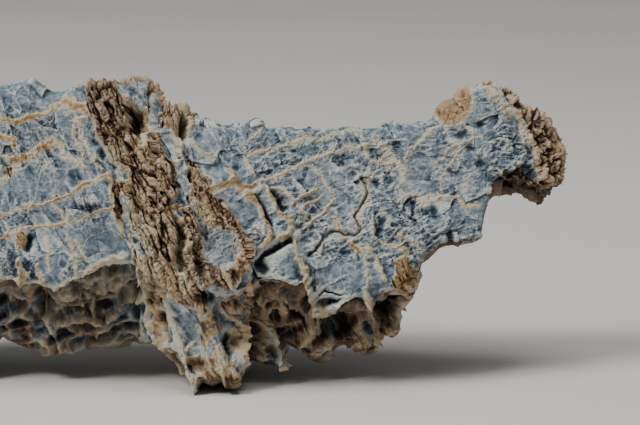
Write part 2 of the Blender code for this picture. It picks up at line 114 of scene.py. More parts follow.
# Runs that more than one table takes up, in x and z.
CRACK = [
    (189.6, 79), (191.1, 76.8), (191.8, 74.3), (190.7, 71.4), (188.9, 68.1), (187.9, 65.2),
    (188.2, 62.7), (189.3, 60.8), (187.9, 59.4), (184.3, 58.7), (181.8, 59.7), (178.9, 59.7),
    (176.8, 57.6), (175, 55)]
DISH_LOWER_RIM = [
    (149.9, 52.8), (149.5, 48.1), (147.4, 44.8), (143.4, 41.8), (141.2, 40.4), (138.4, 42.6),
    (135.5, 40.8), (133, 39.3), (129.7, 39.7), (127.2, 42.9), (125.9, 48.1)]
FOOT_SIDE = [
    (117.6, 16.4), (120.9, 16.4), (125.5, 10.1), (127.3, 5.3), (128.6, -1.8), (124.3, 0.5),
    (119.3, 6.8)]
BEAK_TOP = [(234.3, 69.2), (235, 72.8), (238.1, 78.6), (240.9, 81.5), (247, 84.4)]

# Steps, raised on the right hand of the run: points, height, reach of the raised side,
# rim width, rust, brown.
STEPS = {
    "first panel":
        ([(147.2, 75.3), (150, 72.8), (152.5, 69.2), (154.6, 65.2), (157.1, 60.8), (157.1, 56.5),
        (154.2, 53.2), (151.4, 54.6)], 2.8, 9.5, 1.4, 0.7, 0.3),
    "second panel":
        ([(154.3, 77.5), (158.2, 71), (161.1, 67), (165.7, 63.7), (165.7, 60.8), (162.8, 57.9),
        (157.8, 55.7)], 2.6, 9, 1.1, 0.66, 0.3),
    "dish border":
        ([(130.7, 75), (136.4, 72.8), (140.4, 70.3), (143.2, 66.7), (146, 62.3), (148.5, 57.6),
        *DISH_LOWER_RIM], 4.6, 16, 1, 0.55, 0.6),
    "ochre shelf left":
        ([(114.2, 66.3), (117.8, 67.7), (121.4, 68.5), (127.1, 69.6)], 2.2, 7, 1.8, 0.95, 0.1),
    "ochre shelf right":
        ([(131.4, 73.2), (135.7, 75), (139, 76.4), (142.9, 77.2), (145, 78.6), (147.5, 76.8),
        (150, 75.7), (153.6, 78.2)], 2.0, 7, 2, 0.85, 0.15),
    "small panel upper":
        ([(127.7, 90.9), (129.8, 91.9), (132.3, 90.1), (135.5, 88), (138.7, 84)], 1.7, 9, 1.2,
        0.5, 0),
    "small panel lower":
        ([(139.4, 83.3), (142.9, 81.9), (145, 79.3), (147.2, 76.4)], 1.8, 8, 1.2, 0.6, 0.1),
    "slab line step": ([(147.6, 88), (150.1, 84), (152.2, 80), (154, 78.2)], 1.2, 9, 0.7, 0.4, 0),
    "right panel edge": ([(192.2, 55.7), (194.7, 52.5), (196.5, 50.3)], 1.2, 4, 0.8, 0.5, 0),
    "right block edge":
        ([(187.5, 56.5), (191.5, 55.4), (195.8, 50.6), (196.9, 46.6), (199.1, 40)], 1.8, 10, 1,
        0.45, 0),
    "dark hollow edge":
        ([(193.6, 69.2), (193.6, 63.4), (194.3, 58.3), (196.9, 55.7)], 1.4, 6, 0.7, 0.3, 0),
    "left slab end":
        ([(99.5, 82.2), (101.4, 72.5), (101.7, 68.1), (103.1, 64.8), (104.5, 60.8),
        (105.2, 56.8)], 2, 12, 1.1, 0.6, 0.1),
    "cream slab border":
        ([(92.8, 108.8), (94.1, 103.1), (96.1, 97.3), (98.2, 90.9), (100.9, 87.3), (104.1, 84),
        (106.5, 80)], 1.8, 10, 1, 0.42, 0),
    "crack step": ([(189.6, 81.5), *CRACK, (170.7, 51.4)], 1, 7, 0.6, 0.3, 0)}

# Veins: points, height, half width, rust (0.3 cream, 0.6 tan, 0.9 ochre), brown.
VEINS = {
    "tongue border":
        ([(94.7, 100.1), (97.6, 94.4), (101, 88.6), (105.1, 83.9), (107.4, 80.5)], 0.8, 0.8, 0.55,
        0),
    "upper left vein":
        ([(50.7, 100.9), (61.4, 100.2), (67, 99.1), (73.5, 101.3), (80.2, 103.4)], 0.5, 1.2, 0.8,
        0),
    "upper left vein, broad":
        ([(80.3, 104.5), (84.9, 105.6), (89.1, 104.8), (92.3, 103.1)], 0.7, 2.6, 0.72, 0),
    "middle left vein":
        ([(57.7, 93.7), (61.2, 93.7), (65.1, 93.4), (66.1, 90.1)], 0.4, 1.2, 0.7, 0),
    "middle left vein, bend":
        ([(62.5, 87.3), (66.4, 85.1), (70.7, 86.9), (74.3, 89.1), (77.2, 91.6)], 0.5, 1.2, 0.8,
        0),
    "middle left vein, broad": ([(75.4, 90.5), (79, 91.9), (82.5, 90.9)], 0.5, 2.3, 0.7, 0),
    "middle left vein, end":
        ([(81.8, 91.2), (83.5, 89.1), (84.6, 86.9), (88.5, 85.5), (91.3, 82.9)], 0.5, 0.8, 0.45,
        0),
    "straight left vein":
        ([(46.2, 60.5), (60.6, 65.2), (67.8, 68.1), (77.9, 71), (85.4, 73.9), (91.2, 77.2),
        (96.9, 79), (99.8, 79.7)], 0.5, 0.6, 0.85, 0),
    "lower left vein":
        ([(53.2, 55.4), (60.4, 57.6), (68.7, 60.5), (80.2, 61.9), (88.1, 64.1), (94.9, 67),
        (101.7, 68.1)], 0.5, 0.7, 0.8, 0),
    "left edge vein": ([(56.6, 76.4), (60.9, 77.9), (63.8, 80), (66, 84.7)], 0.4, 0.9, 0.55, 0.1),
    "second slab line":
        ([(88, 100.9), (89.7, 96.6), (91.8, 90.9), (94.5, 85.8), (98, 82.2)], 0.7, 0.7, 0.32, 0),
    "pale arc":
        ([(92.6, 100.5), (89.4, 100.5), (87.3, 98), (88.2, 93), (89.6, 89.4), (90.9, 85.1)], 0.6,
        0.6, 0.33, 0),
    "left fork": ([(79.3, 69.9), (82.1, 67.7), (83.4, 62.7)], 0.4, 0.45, 0.45, 0),
    "fine left drop":
        ([(84.1, 58.3), (86.5, 52.5), (87.1, 46.6), (88.5, 43.7)], 0.7, 0.5, 0.5, 0.05),
    "second left drop": ([(87.3, 56.8), (89, 52.5), (92.5, 48.8)], 0.6, 0.5, 0.5, 0.05),
    "third left drop": ([(76.5, 57.6), (78.2, 51.4), (77.4, 45.1)], 0.5, 0.5, 0.3, 0),
    "long pale vein, tan":
        ([(153.6, 78.2), (157.9, 79.3), (163.2, 81.5), (165.7, 82.9)], 0.6, 0.8, 0.62, 0),
    "long pale vein":
        ([(165.4, 82.9), (170.4, 84.7), (177.8, 87.6), (183.9, 90.5), (190.7, 90.9),
        (195.6, 91.2)], 0.6, 0.6, 0.36, 0),
    "upper pale vein":
        ([(150.1, 87.3), (152.9, 88.7), (159.7, 90.1), (165, 91.6), (170.4, 93), (175.4, 93.4)],
        0.4, 0.5, 0.62, 0),
    "upper pale vein, end":
        ([(175.4, 93.4), (179.6, 94.4), (185, 96.2), (189.9, 96.2)], 0.4, 0.6, 0.4, 0),
    "crown branch": ([(149.7, 92.7), (152.2, 94.4), (155.1, 97.7)], 0.5, 0.4, 0.3, 0),
    "pale crest":
        ([(157.9, 75), (162.5, 74.3), (165, 71.7), (166.8, 68.8), (169.6, 65.9)], 1, 0.7, 0.28,
        0),
    "square hollow, top": ([(167.1, 71.4), (170.7, 73.5), (174.3, 75.3)], 0.9, 0.5, 0.6, 0),
    "square hollow, side":
        ([(168.9, 60.5), (171.8, 63.7), (175.4, 65.9), (177.9, 69.6), (180.4, 72.8)], 0.9, 0.5,
        0.5, 0),
    "fine crest": ([(172.5, 82.9), (175.4, 80), (177.9, 75.7), (179.6, 73.5)], 0.6, 0.5, 0.25, 0),
    "broad cream vein":
        ([(194.2, 93), (198.1, 89.8), (200.3, 86.5), (203.5, 83.3), (205.3, 80.8), (205, 77.9)],
        0.7, 1.8, 0.38, 0),
    "neck cream vein":
        ([(214.8, 97.7), (212.3, 94.4), (209.5, 90.9), (207, 88.7), (204.9, 85.8)], 0.4, 0.5,
        0.36, 0),
    "second neck vein":
        ([(231.9, 94.4), (225.9, 91.9), (222.3, 90.1), (217.7, 86.2), (216, 84)], 0.35, 0.3, 0.36,
        0),
    "third neck vein":
        ([(226.6, 90.1), (223.1, 86.5), (219.5, 81.9), (218.5, 77.9), (218.2, 73.5)], 0.35, 0.28,
        0.34, 0),
    "fourth neck vein": ([(229.9, 81.5), (225.3, 76.1)], 0.3, 0.28, 0.34, 0),
    "cross vein":
        ([(201.8, 75), (206.8, 73.2), (211.4, 72.5), (218.6, 72.1), (223.6, 72.5), (226.1, 69.2),
        (232.2, 69.2)], 0.3, 0.36, 0.5, 0),
    "lower cream line":
        ([(202.9, 59), (206.5, 56.5), (209, 54.6), (211.6, 52.5)], 0.4, 0.45, 0.34, 0),
    "orange streak":
        ([(180, 64.8), (182.2, 60.5), (184.3, 58.3), (186.8, 55.4), (189.3, 51.7)], 0.5, 0.8,
        0.75, 0.05),
    "panel five ridge":
        ([(186.8, 56.1), (189.3, 53.6), (191.5, 50.3), (192.6, 45.9), (192.2, 39.3)], 0.9, 0.5,
        0.5, 0),
    "crack rim":
        ([(191.8, 77.5), (192.5, 74.3), (191.4, 71.4), (189.7, 68.1), (188.6, 64.8),
        (189.7, 61.6)], 0.3, 0.4, 0.4, 0),
    "knob line": ([(165.3, 57.6), (167.1, 51), (169.3, 45.9)], 1.5, 0.8, 0.6, 0.1),
    "right top edge":
        ([(196.9, 55.7), (200.8, 55), (204.4, 53.9), (206.2, 50.3)], 0.7, 0.8, 0.65, 0.1),
    "head stripe":
        ([(232.8, 111.6), (237, 108.4), (241.7, 104.5), (246, 101.3), (248.3, 93.4),
        (252.6, 87.3), (256, 78.6)], 1, 1.5, 0.45, 0),
    "head line": ([(234.2, 109.8), (239.2, 104.8), (242.1, 100.9)], 0.5, 0.5, 0.6, 0),
    "smooth cell rim":
        ([(190.7, 90.1), (192.1, 86.5), (194.2, 85.1), (197.4, 85.5), (200.3, 82.9),
        (201.4, 80.8)], 0.5, 0.5, 0.25, 0),
    "small cross": ([(190, 77.5), (192.8, 80), (196.4, 83.7)], 0.4, 0.4, 0.3, 0),
    "slanting line": ([(167.9, 67.7), (172.1, 70.3), (175.7, 72.8)], 0.5, 0.4, 0.2, 0)}

# Ribs, ledges and hanging walls: points, height, half width, rust, brown.
RIBS = {
    "first dish fin": ([(128.4, 50), (129.4, 44.5), (132.4, 39.6)], 1.8, 1, 0.55, 0.7),
    "second dish fin": ([(134.6, 46), (136.6, 40.8)], 1.6, 1, 0.55, 0.7),
    "third dish fin": ([(140.6, 46.4), (143, 42)], 1.6, 0.9, 0.55, 0.6),
    "fourth dish fin": ([(144.4, 52.6), (146, 45.9)], 1.2, 0.7, 0.6, 0.4),
    "hanging rib":
        ([(169.3, 46.6), (170.7, 40.8), (172.8, 36.7), (174.3, 30.1), (174.6, 22.4)], 4, 1.4,
        0.6, 0.15),
    "second hanging rib":
        ([(191.5, 39.3), (193.4, 31.9), (194.8, 24.6), (195.6, 18.7)], 3, 1.2, 0.6, 0.3),
    "third hanging rib":
        ([(153.1, 34.9), (155.2, 30.1), (157, 24.6), (158.8, 18.3), (160.9, 11.3)], 4.2, 1.5, 0.6,
        0.55),
    "boxwork arch":
        ([(153.1, 33.8), (156.7, 34.5), (162.8, 34.5), (166.4, 33), (170.7, 30.1), (172.5, 26.4),
        (171.8, 21.2), (167.8, 17.2)], 3.8, 1.4, 0.6, 0.4),
    "boxwork slant":
        ([(149.8, 27.5), (152.7, 26.8), (155.2, 24.6), (159.9, 21.2)], 2.4, 1.1, 0.6, 0.5),
    "boxwork ring":
        ([(156.2, 31), (159, 33), (161.8, 31.9), (162.2, 29), (160.2, 26), (156.3, 25.6),
        (155.6, 28.4)], 3.4, 1.2, 0.58, 0.2),
    "left hanging rib": ([(67, 48.8), (68, 44), (68.6, 38.5), (69.9, 33)], 3, 1.6, 0.75, 0.35),
    "second left rib": ([(73.8, 47.3), (74.8, 42.2), (75.4, 38.5)], 1.6, 1, 0.6, 0.2),
    "lip lumps":
        ([(90.3, 44), (93.2, 45.9), (95.7, 47.3), (97.5, 48.8), (100.8, 50.3), (104.7, 50.3)],
        0.8, 1.2, 0.5, 0),
    "ledge near the lip":
        ([(79.4, 38.2), (82.3, 39.3), (85.9, 40.8), (88.8, 42.2)], 1.6, 0.8, 0.55, 0.3),
    "second ledge":
        ([(77.2, 34.9), (81.5, 35.6), (86.5, 35.6), (89.4, 35.2), (94.1, 38.2), (99.5, 39.3),
        (104.6, 40.4), (109.6, 41.8)], 3.6, 1.5, 0.45, 0.55),
    "third ledge":
        ([(75.6, 28.6), (79.9, 27.5), (85, 27.9), (88.6, 28.6), (92.9, 28.3), (97.2, 26.8),
        (100.1, 30.1), (103.8, 33.8), (108.1, 34.9), (111.7, 36)], 3.4, 1.4, 0.45, 0.45),
    "lower knob": ([(94.6, 22.7), (97.2, 24.6), (98.7, 29)], 3.6, 2.4, 0.5, 0.4),
    "short wall": ([(88.7, 35.2), (90.1, 32.3), (88.2, 28.6)], 2, 0.9, 0.4, 0.3),
    "second short wall": ([(94.1, 37.8), (93.3, 33.4), (94, 28.3)], 2, 0.9, 0.4, 0.2),
    "third short wall":
        ([(75.7, 33), (77, 26.8), (79.8, 22.4), (80.8, 16.1)], 2.2, 1.1, 0.5, 0.4),
    "fourth short wall":
        ([(83.5, 27.5), (87, 23.1), (83.4, 19.4), (85.5, 16.4)], 1.8, 0.8, 0.3, 0.1),
    "fifth short wall": ([(99.4, 26.8), (104.4, 24.6), (105.8, 20.1)], 2, 0.8, 0.2, 0),
    "low left wall": ([(59.7, 26.8), (63.4, 28.3), (68.4, 29), (72, 26.8)], 2, 1, 0.4, 0.4),
    "band left border":
        ([(110.4, 46.6), (112.1, 40), (113.5, 34.9), (113.8, 28.3), (114.4, 23.1), (117.3, 18.7),
        (120.1, 15.3)], 1.8, 1, 0.34, 0),
    "foot slate strip":
        ([(120.3, 33.8), (121.7, 28.3), (123.1, 23.1), (124.5, 17.9), (126.2, 12.7), (128, 6.8),
        (128.7, 1.6)], 1.2, 1.6, 0.14, 0),
    "foot branch": ([(124.5, 19), (126.6, 16.4), (128.8, 17.9), (131, 20.5)], 1, 0.6, 0.34, 0),
    "foot branch stem": ([(126.6, 16.4), (127.3, 13.5)], 1, 0.6, 0.34, 0),
    "foot slant ridge": ([(119.6, 36.3), (121.4, 31.9), (123.5, 29)], 1.4, 0.6, 0.36, 0.05),
    "foot rib": ([(138.2, 12.7), (139.6, 8.3), (141, 3.5)], 1.4, 0.7, 0.42, 0.1),
    "far fin":
        ([(143.7, 28.3), (146.9, 25.3), (148.7, 20.1), (146.5, 15.7), (146.8, 11.6)], 3, 1.5,
        0.55, 0.55),
    "block rib": ([(205.2, 40.4), (205.9, 36.3), (205.2, 30.5), (202.4, 28.3)], 2, 1.4, 0.5, 0.5),
    "notch wall": ([(239.1, 82.2), (241.3, 79.3), (243.5, 76.4)], 1.6, 0.8, 0.3, 0.3),
    "second notch wall": ([(246.2, 84.7), (247.7, 80), (249.9, 76.4)], 1.8, 0.8, 0.4, 0.4)}

# Grooves and cracks: points, depth, half width.
GROOVES = {
    "long crack": ([(189.6, 81.1), *CRACK, (170.7, 51)], 2.6, 0.45),
    "gap between the lumps":
        ([(123.9, 63.4), (124.9, 58.7), (124.8, 53.2), (124.4, 48.8), (126.2, 44.4)], 4.5, 1.5),
    "fissure in the left lump": ([(118.9, 65.6), (118.4, 58.7), (119.4, 51.4)], 1.6, 0.5),
    "under the second panel":
        ([(165.7, 58.3), (162.1, 55.7), (157.8, 53.2), (154.2, 50.6), (152, 47.3)], 3.2, 1.3),
    "dish outer shade": ([(151.7, 54.3), (151, 51), (150.2, 46.6)], 2.4, 1.2),
    "left cleft": ([(72.3, 59), (71.1, 55.7), (69.3, 52.1)], 3, 1.3),
    "dark line beside the band": ([(128.3, 82.9), (128.6, 78.6), (130, 75)], 2, 0.5),
    "spike groove": ([(117.8, 31.9), (118.5, 27.5), (119.5, 22.4), (121.2, 17.9)], 2.8, 1.1),
    "foot side groove":
        ([(121.2, 16.4), (124.1, 11.6), (126.2, 7.9), (127.6, 3.8), (128.6, -0.6)], 2.2, 0.8),
    "first panel gap": ([(150.4, 73.5), (153.2, 69.6), (155.7, 65.6), (158.2, 60.5)], 1.4, 0.8),
    "second panel gap": ([(157.5, 75), (159.6, 72.1), (162.5, 67.7)], 1.6, 0.8),
    "edge over the oval hole":
        ([(173.6, 36.7), (177.2, 38.9), (180, 38.2), (184, 36.3)], 1.4, 0.4),
    "dark slot": ([(205.7, 65.2), (207.9, 64.5), (210.4, 62.7)], 1.2, 0.7),
    "right block slit": ([(193.6, 53.2), (195.8, 50.3)], 1, 0.4),
    "hook lump hole": ([(128.1, 58.3), (127, 55.7)], 2.4, 0.6),
    "head border groove":
        ([(247.4, 103.1), (249.6, 97.3), (252.6, 90.9), (254.8, 85.8)], 1.4, 0.8)}

# Hollows: middle, half width, half height, depth.
HOLLOWS = {
    "crown hollow": (110.4, 99.5, 2.9, 5.1, 6.5),
    "right crown hollow": (126, 97.7, 2.2, 4.4, 6),
    "square hollow": (172.9, 70.3, 4, 3.3, 1.4),
    "recess in the dish": (131.4, 45.6, 3.2, 3.4, 3.2),
    "panel shade": (161.4, 69.6, 1.8, 2.9, 1.2),
    "slab hollow": (196.1, 61.2, 2.5, 4, 1.2),
    "pit a": (214.7, 67, 2.2, 2.2, 1),
    "pit b": (207.9, 68.8, 1.4, 2.9, 1.1),
    "pit c": (194.3, 77.9, 2.2, 2.2, 1.1),
    "pit d": (199.6, 78.6, 1.8, 2.2, 1),
    "pit f": (225.1, 94.8, 2.9, 1.8, 1.1),
    "pit g": (228.4, 90.1, 2.2, 1.8, 1.1),
    "pit h": (231.5, 97.7, 1.8, 1.5, 0.9),
    "pit i": (232, 84.7, 1.4, 1.5, 1),
    "pit j": (223.1, 81.5, 2.9, 1.8, 0.7),
    "pit k": (221.9, 98.4, 1.8, 2.2, 0.8),
    "pit l": (185.7, 81.1, 2.9, 3.3, 0.8),
    "pit m": (183.5, 85.8, 2.9, 2.2, 0.7),
    "left hollow": (88, 79.3, 3.2, 2.9, 1.3),
    "left low hollow": (92.5, 68.5, 3.2, 1.8, 1.4),
    "left dark spot": (63.8, 81.5, 1.8, 1.5, 1.4),
    "blue hollow": (96.2, 58.3, 5, 3.7, 1.2),
    "right hollow by the crown": (130.9, 94.4, 2.5, 1.8, 1.4),
    "small dark": (145.1, 83.3, 1.4, 1.5, 0.8),
    "cavity": (74.3, 33.8, 4.3, 4, 5.5),
    "cavity under the lip": (100.3, 44.8, 6.1, 2.6, 4.5),
    "low cavity": (102.9, 24.2, 3.2, 2.6, 4),
    "black low cavity": (106.8, 19.4, 2.9, 2.2, 4),
    "long low cavity": (92.8, 19.8, 4, 2.2, 4),
    "cell a": (98.4, 33.4, 3.6, 2.9, 1.3),
    "cell b": (109.5, 31.6, 3.2, 2.9, 1.1),
    "cell c": (110.9, 24.9, 2.9, 2.2, 1.0),
    "cell d": (78.5, 30.5, 1.8, 2.2, 1.1),
    "cell e": (83.2, 31.2, 3.2, 2.9, 1.3),
    "cell f": (91.1, 25.7, 2.5, 2.2, 1.1),
    "cell g": (85.2, 21.2, 2.9, 2.2, 1.1),
    "cell h": (101.4, 21.2, 2.9, 2.2, 1.0),
    "cell i": (73.4, 27.1, 2.2, 2.2, 1.2),
    "cell j": (66.2, 24.6, 3.6, 2.6, 1.2),
    "cell k": (60.9, 32.3, 2.5, 2.9, 1.8),
    "cell l": (104.5, 37.4, 4, 1.8, 1.2),
    "cavity far left": (62.9, 37.8, 3.2, 2.6, 3.6),
    "foot side panel": (108.9, 38.2, 3.2, 2.9, 2.4),
    "foot hollow": (130.6, 10.9, 3.2, 3.3, 2.8),
    "foot hollow, deep": (132, 8.3, 2.2, 1.5, 1.6),
    "ring hole": (158.8, 29.4, 2.2, 2.6, 5),
    "cavity in the boxwork": (163.5, 22, 3.6, 4, 6),
    "great cavity": (180.8, 24.6, 6.1, 4.4, 6),
    "block cavity": (199.8, 33.8, 4.3, 3.3, 5),
    "black gap": (151.6, 19, 2.5, 7.3, 6),
    "small hole": (170.3, 33.8, 1.8, 2.2, 2.6),
    "oval hole": (178.2, 34.5, 4, 1.8, 4.6),
    "niche": (189, 33.8, 2.2, 2.2, 3),
    "gap under the panels": (153.5, 46.6, 2.5, 3.3, 3.6),
    "under the dish": (133.6, 36, 5, 2.6, 3.6),
    "dark by the foot": (143.3, 18.7, 2.2, 4, 4.5),
    "notch recess": (221.9, 57.9, 1.1, 2.6, 1.6),
    "beak recess": (240.3, 77.2, 4.7, 2.6, 3),
    "beak recess two": (249.1, 81.5, 2.5, 4.4, 2.4),
    "far gap": (149.4, 18.3, 1.4, 7.3, 4),
    "slate cell": (164.9, 37.4, 3.6, 2.9, 2.2)}

# Lumps: middle, half width, half height, height.
LUMPS = {
    "knob": (166.4, 58.3, 2.2, 2.2, 2.2),
    "brown lump at the dish": (150.6, 40.8, 2.9, 2.9, 3),
    "boxwork knob": (171, 23.8, 2.2, 3.3, 1.6),
    "orange block": (205.5, 44.8, 3.6, 5.5, 2),
    "rear mass": (190.9, 23.1, 4, 6.6, 2.6),
    "lower block lump": (199.5, 25.3, 3.6, 3.3, 2.6),
    "grey knob": (75.8, 17.9, 3.2, 2.9, 2.6),
    "first panel floor": (152.3, 59.5, 3, 3.2, 1.8),
    "crown tip": (111.3, 114.5, 2.2, 2.6, 0.8),
    "small crown tip": (98.5, 112.3, 2.2, 2.2, 1),
    "brown foot lump": (144, 30.8, 4, 2.9, 2.2),
    "tip of the left ridge": (104, 51, 2.2, 1.8, 1.4),
    "head pale lump": (255.9, 102.3, 3.2, 3.3, 1.6),
    "head side lump": (260.4, 88.7, 1.8, 2.9, 1.4),
    "tan edge lump": (128.2, 105.6, 1.8, 3.7, 0.7),
    "beak lump": (255.6, 76.4, 5, 4.4, 1.6)}

